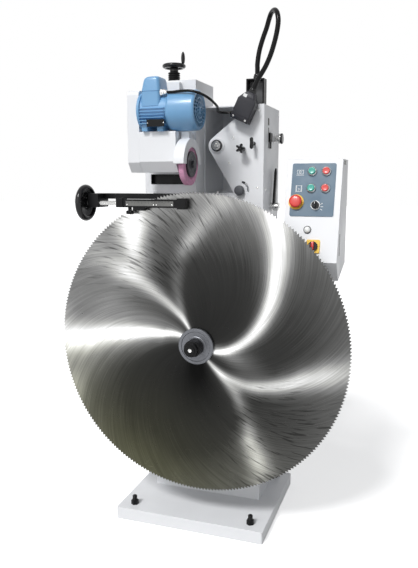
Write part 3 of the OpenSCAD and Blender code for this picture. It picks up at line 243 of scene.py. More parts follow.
motor_path = eased(MOTOR_ROUTE)
lead = skinned("motor_cable_jacket", [hose(motor_path, MOTOR_CABLE_D / 2, 14)], black_rubber, None,
               smooth=38)
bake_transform(lead)
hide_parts("motor_cable")

# ---- Base plate ----
# Cast slab in white enamel, its edges broken by hand. A copy of the solid has its many loose
# triangles joined and its edges rounded, as every casting and cover of the machine has.
enamel = surface("enamel_white", (0.82, 0.83, 0.85), 0.38, grain=(420, 0.08), mottle=(3, 0.03),
                 gloss=0.4)
SHARP = 32


def rounded_edges(piece, radius, segments=2):
    """Rounds a piece's edges that turn by more than SHARP degrees."""
    edge = piece.modifiers.new("edge", "BEVEL")
    edge.width = radius / 1000
    edge.segments = segments
    edge.limit_method = "ANGLE"
    edge.angle_limit = np.radians(SHARP)
    edge.use_clamp_overlap = True
    edge.harden_normals = False


def softened(node, radius, material=enamel, segments=2):
    """A copy of a CAD solid with its doubles merged, its flat faces made whole and its sharp
    edges rounded by a bevel. It rides where the solid rides, and stands for it."""
    source = frame["nodes"][node]
    work = bmesh.new()
    work.from_mesh(source.data)
    bmesh.ops.remove_doubles(work, verts=work.verts, dist=2e-6)
    bmesh.ops.dissolve_limit(work, angle_limit=np.radians(0.6), verts=work.verts, edges=work.edges)
    mesh = bpy.data.meshes.new(node + "_cast")
    piece = set_out(node + "_cast", mesh, work, material, source["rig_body"], node, SHARP)
    rounded_edges(piece, radius, segments)


softened("base_plate", 2.5, segments=3)

# ---- Levelling screws ----
# Four blackened screws with a hexagon socket in the top, each held by a lock nut on the plate.
machine_black = surface("machine_black", (0.005, 0.005, 0.0055), 0.34, grain=(260, 0.15),
                        mottle=(12, 0.3), gloss=0.16)


def corners(node):
    """The lowest and the highest corner of a CAD node's box."""
    return np.array(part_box(node)) * 1000


def turned(profile, centre, axis, sides=64):
    """Rings of a turned part: each (height, radius) of the profile is a circle round the axis,
    at that height from the centre along it."""
    axis = np.asarray(axis, float) / np.linalg.norm(axis)
    u = np.cross(axis, Z if abs(axis[2]) < 0.9 else X)
    u /= np.linalg.norm(u)
    v = np.cross(axis, u)
    turn = np.linspace(0, 2 * np.pi, sides, endpoint=False)
    circle = np.cos(turn)[:, None] * u + np.sin(turn)[:, None] * v
    h, r = np.asarray(profile, float).T
    return np.asarray(centre, float) + h[:, None, None] * axis + r[:, None, None] * circle


def thread(start, stop, pitch, radius, depth):
    """Profile points of a thread, from start to stop: every second one lies in a groove."""
    heights = np.arange(start, stop, pitch)
    return [*zip(heights, radius - depth * (np.arange(len(heights)) % 2))]


low, high = corners("levelling_screws")
top, core = high[2], 8
NUT_R, NUT_FLAT, NUT_FOOT, NUT_TOP = 13.4, 11.8, 43.1, 59
screws = []
for x in (low[0] + NUT_FLAT, high[0] - NUT_FLAT):
    for y in (low[1] + NUT_R, high[1] - NUT_R):
        socket = [(top, 4.5), (top - 8, 4.2), (top - 8, 0.1)]
        screws.append(turned([(0, core), *thread(NUT_TOP + 0.5, top - 3, 1, core, 0.6),
                              (top - 1.5, core), (top, core - 1.2), *socket], (x, y, 0), Z, 24))
        screws.append(turned([(NUT_FOOT, NUT_R), (NUT_TOP - 1.5, NUT_R), (NUT_TOP, NUT_R - 1.8)],
                             (x, y, 0), Z, 6))
skinned("levelling_screw_set", screws, machine_black, "machine", node="levelling_screws")

# ---- Column ----
# Welded hollow column in white enamel, with the two ground slideways of the arbor slide on its
# front. A sheet cover closes the back and is held by eight low domed screws.
softened("column", 4, segments=3)
softened("rear_cover", 0.8)

bright_steel = surface("bright_steel", (0.62, 0.62, 0.61), 0.24, metal=1.0, grain=(700, 0.06),
                       mottle=(20, 0.08))


def screw_heads(name, places, axis, radius, body, proud=1.2):
    """Low domed screw heads with a socket, turned about the given axis at each place."""
    profile = [(-0.4, radius), (proud * 0.4, radius), (proud, radius * 0.75),
               (proud, radius * 0.42), (proud * 0.1, radius * 0.4), (proud * 0.1, 0.1)]
    skinned(name, [turned(profile, p, axis, 12) for p in places], bright_steel, body)


low, high = corners("rear_cover")
FROM_SIDE, FROM_END, PER_SIDE = 12, 20, 4
screw_heads("rear_cover_screws", [
    (x, high[1], z) for x in (low[0] + FROM_SIDE, high[0] - FROM_SIDE)
    for z in np.linspace(low[2] + FROM_END, high[2] - FROM_END, PER_SIDE)], Y, 5, "machine")

# ---- Arbor slide ----
# Casting that slides on the column behind the blade, with the barrel of the arbor bearings, and
# the screw that lifts it. Its thread is a fine groove cut all the way up.
softened("arbor_slide", 2)
softened("arbor_bearings", 0.6, bright_steel)
low, high = corners("elevating_screw")
core = (high[0] - low[0]) / 2
THREAD_TOP, SHOULDER_Z, END_R = 1130, 1131.7, 8
lift = turned([(low[2], core), *thread(low[2] + 4, THREAD_TOP, 2.5, core, 1.4),
               (SHOULDER_Z, core), (SHOULDER_Z, END_R), (high[2], END_R)],
              (*((low + high) / 2)[:2], 0), Z, 32)
skinned("lift_screw", [lift], bright_steel, "elevator", node="elevating_screw")

# ---- Saw blade ----
# One metre of tool steel with saw teeth all round. Both faces are ground in swirling passes.
# Its colour carries painted highlights, bright curved sheaves that run out from the hub, between
# dull, darker fields of painted shade.
BLADE_CENTRE = np.array((0.0, 0.0, 647.0))
BLADE_R, BLADE_T, BORE_R, TEETH, TOOTH_H = 500, 5, 16, 280, 7


def sheaf(share, angle):
    """Painted highlights and painted shade of the ground steel: how bright its colour is, from 0
    to 1, at a share of the radius and an angle in degrees: a dull field that lightens towards the
    rim, plus the bright sheaves. Each sheaf follows its own line of angles over the radius, as a
    bell curve across it with a wide, faint skirt."""

    def bell(off, width):
        return np.exp(-((((off + 180) % 360 - 180) / width) ** 2))

    # painted shade: a dull field, lighter towards the rim and darker below the hub
    light = 0.08 + 0.15 * share + 0.08 * share**4 + 0.12 * bell(angle - 150, 22)
    light = light + 0.20 * share**4 * bell(angle - 88, 42)
    light = light - 0.12 * bell(angle - 272, 34) * np.exp(-((share / 0.42) ** 2))
    knots = (0.1, 0.25, 0.4, 0.55, 0.7, 0.85, 1.0)
    # painted highlights: bright sheaves that curve out from the hub
    for line, strength, width in (
        ((148, 165, 171, 176, 179, 181, 181), (0.70, 0.72, 0.72, 0.66, 0.64, 0.66, 0.58), 6.8),
        ((113, 122, 129, 134, 138, 140, 142), (0.38, 0.50, 0.44, 0.34, 0.34, 0.18, 0.06), 6.0),
        ((128, 128, 128, 128, 127, 121, 118), (0.00, 0.00, 0.00, 0.06, 0.36, 0.56, 0.42), 8.0),
        ((118, 114, 110, 103, 93, 85, 77), (0.18, 0.20, 0.18, 0.12, 0.32, 0.18, 0.08), 6.0),
        ((-18, 1, 16, 30, 42, 51, 60), (0.68, 0.70, 0.70, 0.68, 0.62, 0.56, 0.44), 6.6),
        ((-50, -45, -36, -24, -14, -8, -4), (0.38, 0.44, 0.42, 0.48, 0.56, 0.44, 0.26), 6.0),
        ((-53, -49, -48, -53, -59, -60, -62), (0.16, 0.30, 0.32, 0.14, 0.44, 0.42, 0.16), 5.5),
        ((-5, -12, -18, -25, -30, -30, -30), (0.30, 0.26, 0.12, 0.00, 0.00, 0.00, 0.00), 14.0),
        ((166, 176, 182, 186, 190, 194, 200), (0.12, 0.14, 0.14, 0.12, 0.10, 0.12, 0.24), 10.0),
        ((142, 152, 158, 162, 165, 168, 170), (0.14, 0.10, 0.12, 0.14, 0.12, 0.06, 0.04), 12.0),
    ):
        off = angle - np.interp(share, knots, line)
        across = bell(off, width) + 0.13 * bell(off, 2.6 * width)
        light = light + np.interp(share, knots, strength) * across
    return np.clip(light, 0.02, 1)


def steel_with_painted_sheen():
    """Ground steel with painted highlights and painted shade. Its level is the blade's own painted
    sheen attribute, made uneven by fine streaks that follow the grinding passes, by short dark
    marks that cross them, and by soft clouds; the colour is the level put through the display
    curve, a little warm in the dark."""
    made = surface("blade_steel", (0.5, 0.5, 0.48), 0.3, metal=1.0, grain=(900, 0.02),
                   mottle=(3, 0.1))
    tree = made.node_tree
    node_of = {node.type: node for node in tree.nodes}

    def noise_of(source, stretch, detail):
        place = wired(tree, "Mapping", {"Scale": stretch, "Vector": source}).outputs["Vector"]
        noise = wired(tree, "TexNoise", {"Scale": 1, "Detail": detail, "Vector": place})
        return noise.outputs["Fac"]

    def maths(kind, *terms):
        return wired(tree, "Math", dict(enumerate(terms)), operation=kind).outputs[0]

    def attribute(name):
        return wired(tree, "Attribute", attribute_name=name).outputs["Fac"]

    passes, crossings = (wired(tree, "UVMap", uv_map=name).outputs["UV"]
                         for name in ("passes", "crossings"))
    fine = noise_of(passes, (520, 2.5, 1), 6)
    broad = noise_of(passes, (90, 1.2, 1), 3)
    arcs = noise_of(crossings, (300, 6.5, 1), 4)
    clouds = noise_of(node_of["TEX_COORD"].outputs["Object"], (5, 5, 5), 3)
    uneven = maths("MULTIPLY_ADD", clouds, 0.36, 0.39)
    uneven = maths("MULTIPLY_ADD", fine, 0.56, maths("MULTIPLY_ADD", broad, 0.30, uneven))
    marks = maths("MAXIMUM", maths("MULTIPLY_ADD", arcs, 6.0, -3.4), 0.0)
    marks = maths("MINIMUM", maths("MULTIPLY", marks, attribute("marked")), 0.34)
    # the blade's painted highlights and shade set the level of its colour
    level = maths("MULTIPLY", maths("MULTIPLY", attribute("sheaf"), uneven),
                  maths("SUBTRACT", 1.0, marks))
    ramp = wired(tree, "ValToRGB", {"Fac": level})
    stops = ramp.color_ramp.elements
    stops[0].position, stops[0].color = 0.0, (0.003, 0.003, 0.003, 1)
    stops[1].position, stops[1].color = 1.0, (0.98, 0.98, 0.975, 1)
    for at, tone in ((0.2, (0.032, 0.032, 0.031)), (0.35, (0.098, 0.098, 0.096)),
                     (0.5, (0.21, 0.21, 0.208)), (0.65, (0.375, 0.375, 0.362)),
                     (0.8, (0.60, 0.60, 0.592))):
        stops.new(at).color = (*tone, 1)
    tinted = wired(tree, "Mix", {"Factor": attribute("warm"), "A": ramp.outputs["Color"],
                                 "B": (1.0, 1.0, 0.66, 1)},
                   data_type="RGBA", blend_type="MULTIPLY")
    plugged(tree, node_of["BUMP"], {"Strength": 0.1, "Distance": 0.0003, "Height": fine})
    plugged(tree, node_of["BSDF_PRINCIPLED"], {"Base Color": tinted.outputs["Result"],
                                               "Anisotropic": 0.35})
    return made


def saw_blade():
    """A disc on a polar grid, front face then back face. The rim's radius is a saw-tooth wave of
    the angle: the steep front of each tooth falls to the gullet, and its back rises slowly."""
    spokes = TEETH * 4
    turn = 2 * np.pi * np.arange(spokes) / spokes
    wave = np.tile((0.0, 1.0, 0.72, 0.34), TEETH)
    shares = np.concatenate([[BORE_R / BLADE_R], np.linspace(0.07, 0.97, 31), [1]])[:, None]
    radius = np.where(shares < 1, shares * (BLADE_R - TOOTH_H * 1.02), BLADE_R - TOOTH_H * wave)
    radius[0] = BORE_R
    front, back = (np.stack([radius * np.cos(turn), np.full_like(radius, y),
                             radius * np.sin(turn)], -1) for y in (-BLADE_T / 2, BLADE_T / 2))
    rings = np.concatenate([front, back[::-1]]) + BLADE_CENTRE
    last = (len(rings) - 1) * spokes
    k = np.arange(spokes)
    bore = np.stack([last + k, last + (k + 1) % spokes, (k + 1) % spokes, k], -1).tolist()
    piece = meshed("saw_blade_ground", rings, lofted(rings, capped=False) + bore, steel_with_painted_sheen(),
                   "blade", node="saw_blade", smooth=40)
    mesh = piece.data
    place = np.empty(len(mesh.vertices) * 3)
    mesh.vertices.foreach_get("co", place)
    place = place.reshape(-1, 3) * 1000 - BLADE_CENTRE
    share = np.hypot(place[:, 0], place[:, 2]) / BLADE_R
    angle = np.degrees(np.arctan2(place[:, 2], place[:, 0]))
    marked = np.exp(-(((angle - 112) / 30) ** 2)) + np.exp(-(((angle + 47) / 24) ** 2))
    warm = np.exp(-(((angle + 118) / 45) ** 2)) * np.clip(1.5 * share - 0.3, 0, 1)
    # the painted highlights and shade go into an attribute of the blade
    for name, values in (("sheaf", sheaf(share, angle)), ("warm", warm),
                         ("marked", marked * np.clip(4 * share - 1.4, 0, 1))):
        layer = mesh.attributes.new(name, "FLOAT", "POINT")
        layer.data.foreach_set("value", values.astype(np.float32))
    # The passes turn by 70 degrees from hub to rim, and the marks that cross them by 45
    corner = np.empty(len(mesh.loops), int)
    mesh.loops.foreach_get("vertex_index", corner)
    start, total = np.empty(len(mesh.polygons), int), np.empty(len(mesh.polygons), int)
    mesh.polygons.foreach_get("loop_start", start)
    mesh.polygons.foreach_get("loop_total", total)
    for name, turned_by in (("passes", 70), ("crossings", 45)):
        across = ((angle - turned_by * share) / 360)[corner]
        first = np.repeat(across[start], total)
        across -= np.round(across - first)
        flow = np.stack([across, share[corner]], -1).astype(np.float32).ravel()
        mesh.uv_layers.new(name=name).data.foreach_set("uv", flow)


saw_blade()

# ---- Flanges and clamping nut ----
# Two turned flanges hold the blade on the arbor. The outer one has a raised rim and a long nut
# with two spanner flats, out of which the arbor's end shows, with a bright centre hole.
flange_grey = surface("flange_grey", (0.145, 0.15, 0.165), 0.38, metal=0.6, grain=(900, 0.1),
                      mottle=(15, 0.12))
low, high = corners("front_flange")
rim, depth = (high[0] - low[0]) / 2, high[1] - low[1]
face = turned([(0, 16.5), (0, rim - 1), (1, rim), (depth - 2, rim), (depth, rim - 2),
               (depth, rim - 10), (depth - 1.6, rim - 11.5), (depth - 1.6, 34), (depth - 0.4, 32),
               (depth - 0.4, 16.5)], (0, high[1], BLADE_CENTRE[2]), -Y, 96)
skinned("outer_flange", [face], flange_grey, "blade", "dark_steel", "front_flange", capped=False)
softened("rear_flange", 1, flange_grey)

low, high = corners("clamp_nut")
r, long = (high[0] - low[0]) / 2, high[1] - low[1]
nut = turned([(0, 16.2), (0, r - 1), (1, r), (long - 17, r), (long - 14.5, r - 2.5),
              (long - 14, 22.5), (long - 1.5, 22.5), (long, 21), (long, 16.2)],
             (0, high[1], BLADE_CENTRE[2]), -Y, 72)
# Two spanner flats: the thick part is cut off square at each side, in front of the flange
FLAT_FROM, FLAT_SHARE = -20, 0.86
thick = nut[:4] - BLADE_CENTRE
cut = np.clip(thick[..., 2], -FLAT_SHARE * r, FLAT_SHARE * r)
thick[..., 2] = np.where(thick[..., 1] < FLAT_FROM, cut, thick[..., 2])
nut[:4] = thick + BLADE_CENTRE
skinned("arbor_nut", [nut], machine_black, "blade", node="clamp_nut", smooth=28, capped=False)

low, high = corners("arbor_shaft")
NOSE_BACK = 22.5
nose, shaft, end = 16, (high[0] - low[0]) / 2, low[1]
step = NOSE_BACK - end
arbor = turned([(4.5, 0.1), (3.2, 2.8), (0, 6.2), (0, nose - 1.5), (1.5, nose), (step, nose),
                (step, shaft), (high[1] - end, shaft)], (0, end, BLADE_CENTRE[2]), Y, 64)
faces = lofted(arbor[2:])
del faces[-2]
meshed("arbor", arbor[2:], faces, machine_black, "blade", "bright_steel", "arbor_shaft")
meshed("arbor_centre_hole", arbor[:3], lofted(arbor[:3])[:-1], bright_steel, "blade",
       node="arbor_shaft")

# ---- Grinding head ----
# White box casting that slides on the head column, which has a recess under it lined with black
# sheets as painted shade, and the sheet cover of the belt drive on its left, held by four screws.
softened("head_column", 3)
softened("head_housing", 5, segments=3)


def slab(a, b):
    """Rings of a plain block between two corners of space, as two levels of four points."""
    (x0, y0, z0), (x1, y1, z1) = a, b
    foot = [(x0, y0), (x1, y0), (x1, y1), (x0, y1)]
    return np.array([[(x, y, z) for x, y in foot] for z in (z0, z1)])


left, right, mouth, back, foot, top, sheet = -208.8, -89.2, 121, 138.8, 1169.2, 1202.8, 1.4
# black sheets on the recess's back, top and sides: painted shade inside it
recess = [slab((left, back, foot), (right, back + 1, top)),
          slab((left, mouth, top - sheet), (right, back, top)),
          slab((left, mouth, foot), (left + sheet, back, top - sheet)),
          slab((right - sheet, mouth, foot), (right, back, top - sheet))]
skinned("head_column_recess_painted_shade", recess, machine_black, "machine")
softened("belt_cover", 4, segments=3)
softened("spindle_bearings", 0.5, bright_steel)
softened("drive_belt", 0.5, black_rubber)
low, high = corners("belt_cover")
FROM_SIDE, FROM_FOOT, FROM_TOP = 20, 55, 30
screw_heads("belt_cover_screws", [
    (low[0], y, z) for y in (low[1] + FROM_SIDE, high[1] - FROM_SIDE)
    for z in (low[2] + FROM_FOOT, high[2] - FROM_TOP)], -X, 4, "grinding_head")

# ---- Wheel guard, spindle and grinding wheel ----
# White arched guard round the upper half of the wheel. The wheel is a ring of pink bonded
# abrasive, clamped between a dark flange and the spindle's shoulder by a nut.
softened("wheel_guard", 1.6, segments=3)
softened("spindle_pulley", 0.5, bright_steel)

dark_steel = surface("dark_steel", (0.055, 0.055, 0.06), 0.34, metal=0.7, grain=(800, 0.08),
                     mottle=(25, 0.2))
pink_abrasive = surface("pink_abrasive", (0.86, 0.42, 0.63), 0.85, grain=(1100, 0.9),
                        mottle=(90, 0.13))
WHEEL_AXIS = np.array((0, 0, 1232))
low, high = corners("grinding_wheel")
r, t = (high[1] - low[1]) / 2, high[0] - low[0]
ring = turned([(0, 16.2), (0, r - 1.2), (1.2, r), (t - 1.2, r), (t, r - 1.2), (t, 47),
               (t - 2.5, 45), (t - 2.5, 16.2)], WHEEL_AXIS + low[0] * X, X, 96)
skinned("grinding_wheel_ring", [ring], pink_abrasive, "wheel_spindle", node="grinding_wheel",
        capped=False)

low, high = corners("spindle")
NUT_SHARE = 0.87
left, right = -36, -18  # the wheel's two sides
shaft = turned([(low[0], 7.3), (low[0] + 1.2, 8.5), (left - 6, 8.5), (left - 6, 24),
                (left - 5, 25), (left, 25), (left, 16), (right - 2.4, 16), (right - 2.4, 40.5),
                (right + 3.5, 40.5), (right + 5, 39), (right + 5, 30), (right + 3.6, 28),
                (right + 3.6, 18), (right + 5, 16.5), (right + 5, 13)], WHEEL_AXIS, X, 64)
nut = turned([(right + 4, 14.8), (high[0] - 2.5, 14.8), (high[0] - 1, 13.2), (high[0] - 1, 7.5),
              (high[0], 6.2)], WHEEL_AXIS, X, 6)
nut[..., 1:] = (nut[..., 1:] - WHEEL_AXIS[1:]) * NUT_SHARE + WHEEL_AXIS[1:]
skinned("wheel_spindle_shaft", [shaft, nut], dark_steel, "wheel_spindle", node="spindle")

# ---- Grinding motor ----
# Small finned motor in pale blue paint: a frame with flat cooling ribs at its sides, between an
# end shield and a neck, on two feet. Its cowl and its terminal box follow below.
motor_blue = surface("motor_blue", (0.155, 0.36, 0.61), 0.36, grain=(380, 0.12), mottle=(7, 0.07),
                     coat=0.25)
MOTOR_Y, MOTOR_Z = -10, 1395
BARREL_R, RIB_REACH = 54, 59
RIBS = np.arange(-42, 3.5, 9)


def ribbed_outline():
    """The frame's section (y, z) seen along the shaft: a circle, pushed out sideways to the
    ribs' reach wherever its height lies within one of the ribs."""
    levels = [(-BARREL_R, 0.0)]
    for z in RIBS:
        levels += [(z, np.sqrt(BARREL_R**2 - z**2)), (z + 0.3, RIB_REACH - 0.4),
                   (z + 2.7, RIB_REACH), (z + 3, np.sqrt(BARREL_R**2 - (z + 3) ** 2))]
    for a in np.radians(np.arange(8, 90, 6)):
        levels.append((BARREL_R * np.sin(a), BARREL_R * np.cos(a)))
    levels.append((BARREL_R, 0.0))
    right = np.array(levels)
    return np.vstack([right, right[-2:0:-1] * (1, -1)])[:, ::-1]


def round_rectangle(width, depth, corner, sides):
    """Points (u, v) round a rectangle about (0, 0), turning from u to v, with each corner an
    arc of that many points."""
    a = np.radians(np.linspace(0, 90, sides)) + np.arange(4)[:, None] * np.pi / 2
    middle = np.array([(1, 1), (-1, 1), (-1, -1), (1, -1)])
    middle = middle * (width / 2 - corner, depth / 2 - corner)
    return (middle[:, None] + corner * np.stack([np.cos(a), np.sin(a)], -1)).reshape(-1, 2)


def level_ring(flat, centre, z):
    """Flat points (x, y) about a centre, set at one height."""
    return np.column_stack([flat + centre, np.full(len(flat), z)])


def rounded_box(a, b, edge, corner):
    """Rings of a block between two corners of space: a rectangle with round corners, lofted
    upwards, drawn in by a quarter circle at the bottom and at the top edge."""
    a, b = np.array(a), np.array(b)
    swing = np.radians((0, 30, 60, 90))
    rise, shrink = edge * (1 - np.cos(swing)), edge * (1 - np.sin(swing))
    levels = [*zip(a[2] + rise, shrink), *zip(b[2] - rise[::-1], shrink[::-1])]
    return np.array([level_ring(round_rectangle(*(b - a)[:2] - 2 * s, max(corner - s, 0.2), 6),
                                (a + b)[:2] / 2, z) for z, s in levels])


low, high = corners("motor_body")
middle = (0, MOTOR_Y, MOTOR_Z)
stations = ((low[0] + 10.2, 0.97), (low[0] + 11.2, 1), (high[0] - 7, 1), (high[0] - 6, 0.985))
outline = ribbed_outline()
ribbed = np.array([middle + np.column_stack([np.full(len(outline), x), share * outline])
                   for x, share in stations])
shield = turned([(0, 40), (0, 56), (2, 59), (8.5, 59), (10.1, 57.5), (10.1, 8), (0, 8)],
                (low[0], MOTOR_Y, MOTOR_Z), X, 72)
neck = turned([(high[0] - 6.2, 54), (high[0], 54), (high[0], 8)], middle, X, 72)
FOOT_WIDE, FOOT_REACH, FOOT_HIGH = 20, 48, 33
feet = [rounded_box((x, MOTOR_Y - FOOT_REACH, low[2]),
                    (x + FOOT_WIDE, MOTOR_Y + FOOT_REACH, low[2] + FOOT_HIGH), 1.5, 3)
        for x in (low[0] + 14, high[0] - 14 - FOOT_WIDE)]
skinned("motor_frame", [ribbed, shield, neck, *feet], motor_blue, "grinding_head",
        node="motor_body")

# Blank black plate across the tips of the lower ribs, between two rivets; its black is also
# painted shade for the dark under the ribs.
plate_y = MOTOR_Y - RIB_REACH - 1
plate = slab((low[0] + 37.5, plate_y, MOTOR_Z - 50.5),
             (high[0] - 4.5, plate_y + 1.3, MOTOR_Z - 28.5))
skinned("motor_plate_with_painted_shade", [plate], machine_black, "grinding_head")
rivets = [turned([(0, 1.6), (0.5, 1.5), (0.8, 0.9), (0.9, 0.2)],
                 (x, plate_y, MOTOR_Z - 39.5), -Y, 20) for x in (low[0] + 40.5, high[0] - 7.5)]
skinned("motor_plate_rivets", rivets, bright_steel, "grinding_head")

# ---- Fan cowl ----
# Drawn sheet cowl with a rolled edge. Rings of curved slots are pressed out of its end, and the
# dark fan shows behind them.
low, high = corners("fan_cowl")
cowl_r, start_x, end_x = (high[1] - low[1]) / 2, low[0], high[0]
END_R, SPOKES = 54, 240


def cowl_skin():
    """The cowl on a polar grid of rings and spokes: its domed end, then its wall. A cell is left
    open where its ring is one of the slotted ones and its place round the ring, advanced by the
    radius so that the slots swirl, falls in the open three fifths of a pitch."""
    radii = np.array([0.0, 7, 12, 22, 25.5, 35.5, 39, 49.5, END_R])
    wall = [(end_x - 3.2, 56.5), (end_x - 5.5, 59.2), (end_x - 9, 60.6),
            (end_x - 14, cowl_r - 0.3), (start_x + 6, cowl_r), (start_x + 5.5, cowl_r - 0.4),
            (start_x, cowl_r - 0.4)]
    x, r = np.array([*zip(end_x - 1.4 - 2.8 * (radii / END_R) ** 2, radii), *wall]).T[..., None]
    angle = 2 * np.pi * np.arange(SPOKES) / SPOKES + 0.55 * np.minimum(r / END_R, 1)
    points = np.stack([np.broadcast_to(x, angle.shape), MOTOR_Y + r * np.cos(angle),
                       MOTOR_Z + r * np.sin(angle)], -1)
    slots = {2: 10, 4: 16, 6: 24}
    faces = []
    for ring in range(len(x) - 1):
        k = np.arange(SPOKES)
        if ring in slots:
            pitch = SPOKES / slots[ring]
            k = k[(k % pitch) >= 0.62 * pitch]
        a, b = ring * SPOKES + k, ring * SPOKES + (k + 1) % SPOKES
        faces += np.column_stack([a, b, b + SPOKES, a + SPOKES]).tolist()
    return points, faces


cowl = meshed("fan_cowl_sheet", *cowl_skin(), motor_blue, "grinding_head", node="fan_cowl",
              smooth=32)
sheet = cowl.modifiers.new("sheet", "SOLIDIFY")
sheet.thickness = 0.0012
sheet.offset = -1

fan_black = surface("fan_black", (0.03, 0.033, 0.04), 0.55, grain=(300, 0.1), mottle=(10, 0.2))
softened("motor_rotor", 0.4, fan_black)

# ---- Terminal box ----
# Cast box on the motor with a screwed lid. Its left side leans in towards the top, a thin seam
# runs round under the lid, and the cable gland screws into its right side.
low, high = corners("terminal_box")
seam, top = low[2] + 44, high[2]
skin = []
for z, inset, corner in ((low[2], 0, 10), (seam - 1.2, 1, 10), (seam - 0.6, 2.6, 9),
                         (seam + 0.6, 2.6, 9), (seam + 1.2, 0.8, 10), (top - 12, 4.5, 12),
                         (top - 6, 6.2, 12), (top - 2.2, 9.2, 12), (top, 15, 10)):
    a, b = low[:2] + inset * np.array((1.6, 0.8)), high[:2] - inset * np.array((0.7, 0.8))
    skin.append(level_ring(round_rectangle(*b - a, corner, 7), (a + b) / 2, z))
under = np.clip(1 - (skin[0][:, 1] - MOTOR_Y) ** 2 / BARREL_R**2, 0, 1)
skin[0][:, 2] = np.maximum(skin[0][:, 2], MOTOR_Z + 0.9985 * BARREL_R * np.sqrt(under))
skinned("terminal_box_cast", [skin], motor_blue, "grinding_head", node="terminal_box")

low, high = corners("motor_gland")
foot = (low[0], *((low + high) / 2)[1:])
long = high[0] - low[0]
hexagon = turned([(0, 9.8), (5.5, 9.8), (6.2, 9)], foot, X, 6)
cap = turned([(6, 9.2), (6.8, 9.8), (11.8, 9.8), (12.5, 8.2), (12.8, 7.4), (long - 3, 7.4),
              (long - 1, 6), (long, 4.5)], foot, X, 40)
skinned("motor_cable_gland", [hexagon, cap], bright_steel, "grinding_head", node="motor_gland")

# ---- Height adjustment ----
# Fine screw that lifts the grinding head, in a black grooved collar on top of the head column,
# with a small dished handwheel and a turning crank grip.
low, high = corners("height_screw")
foot, top = low[2], high[2]
axis = (*((low + high) / 2)[:2], 0)
THREAD_TOP = 1500
rod = turned([(foot, 6.8), (foot + 1.2, 8), *thread(foot + 3, THREAD_TOP, 2, 8, 0.8),
              (THREAD_TOP + 2, 8), (top - 1, 8), (top, 7)], axis, Z, 32)
skinned("height_screw_threaded", [rod], bright_steel, "height_adjuster", node="height_screw")

low, high = corners("screw_collar")
foot, top, r = low[2], high[2], (high[0] - low[0]) / 2
pitch = (top - foot) / 4
grooves = []
for ridge in foot + pitch * np.arange(4):
    grooves += [(ridge + 0.2, r - 4.5), (ridge + 1.2, r - 4.5), (ridge + 2, r - 0.6),
                (ridge + 2.8, r), (ridge + pitch - 2, r), (ridge + pitch - 1, r - 0.8),
                (ridge + pitch - 0.2, r - 4.5)]
collar = turned([(foot, 8.05), (foot, r - 4.5), *grooves, (top, r - 4.5), (top, 8.05)],
                axis, Z, 48)
skinned("grooved_collar", [collar], machine_black, "machine", node="screw_collar", capped=False)

black_plastic = surface("black_plastic", (0.006, 0.006, 0.007), 0.17, grain=(160, 0.05),
                        mottle=(12, 0.3), gloss=0.3)
low, high = corners("top_handwheel")
r, web, tyre_r = (high[1] - low[1]) / 2, 1548, 7
tyre = [(web + 8 + tyre_r * np.sin(a), r - tyre_r + tyre_r * np.cos(a))
        for a in np.radians(np.arange(-150, 151, 25))]
dish = turned([(web - 11.7, 8.1), (web - 11.7, 12.5), (web - 10.2, 14), (web + 2, 14),
               (web + 3.8, 16.5), (web + 4.5, r - 14), *tyre, (web + 10.5, r - 15),
               (web + 9.8, 19), (web + 11.2, 14.5), (web + 12, 12.5), (web + 12, 8.1)],
              axis, Z, 72)
pin = turned([(web + 6, 3), (high[2] - 1, 3), (high[2], 2.2)], axis + (r - tyre_r) * X, Z, 16)
skinned("top_handwheel_moulded", [dish, pin], black_plastic, "height_adjuster",
        node="top_handwheel", smooth=34)

low, high = corners("crank_grip")
tall = high[2] - low[2]
share = np.linspace(0, 1, 15)
bulge = 4.8 + 1.7 * np.sin(np.pi * np.clip(share * 1.05 - 0.02, 0, 1)) ** 0.8
grip = turned([(0, 3.05), (0, 4.4), *zip(0.6 + share * (tall - 3), bulge), (tall - 1.2, 3.6),
               (tall, 3.05)], (*((low + high) / 2)[:2], low[2]), Z, 32)
skinned("crank_grip_turned", [grip], black_plastic, "crank", node="crank_grip", smooth=40,
        capped=False)

# ---- Rail fork and bracket ----
# Black fork at the left end of the rear rail, with the guide rod of the front rail, and the
# white bracket that carries them on the column.
softened("arm_bracket", 3)
softened("rail_fork", 2.2, machine_black, segments=3)

# ---- Front rail ----
# Black rail that slides on the fork's rod. A grey steel rule in two lengths lies on its front,
# with a stroke every 5 mm, a longer one every 25 mm, and a round screw at each end.
softened("front_rail", 1.4, machine_black)
rule_grey = surface("rule_grey", (0.13, 0.13, 0.125), 0.46, metal=0.55, grain=(600, 0.1),
                    mottle=(18, 0.15))
RAIL_FACE, RULE_T, RULE_FOOT, RULE_HIGH, FROM_END = -34, 0.6, 1101.2, 15.5, 34
front, rule_top = RAIL_FACE - RULE_T, RULE_FOOT + RULE_HIGH
rules, strokes, rule_screws = [], [], []
x = corners("front_rail")[0][0] + FROM_END
for long in (102, 62):
    rules.append(slab((x, front, RULE_FOOT), (x + long, RAIL_FACE + 0.2, rule_top)))
    for k, mark in enumerate(np.arange(x + 6, x + long - 4, 5)):
        tall = 5.2 if k % 5 else 8.5
        strokes.append(slab((mark - 0.35, front - 0.12, rule_top - tall),
                            (mark + 0.35, front + 0.1, rule_top - 0.4)))
    rule_screws += [(at, front, RULE_FOOT + 4) for at in (x + 4, x + long - 4)]
    x += long + 1.5
skinned("rail_rule", rules, rule_grey, "feed_rail", "bright_steel")
skinned("rail_rule_strokes", strokes, machine_black, "feed_rail")
screw_heads("rail_rule_screws", rule_screws, -Y, 2.2, "feed_rail", 0.6)

# ---- Clamp knob ----
# Black knob under the rail that clamps it on its screw: a fluted head on a round neck.
low, high = corners("clamp_knob")


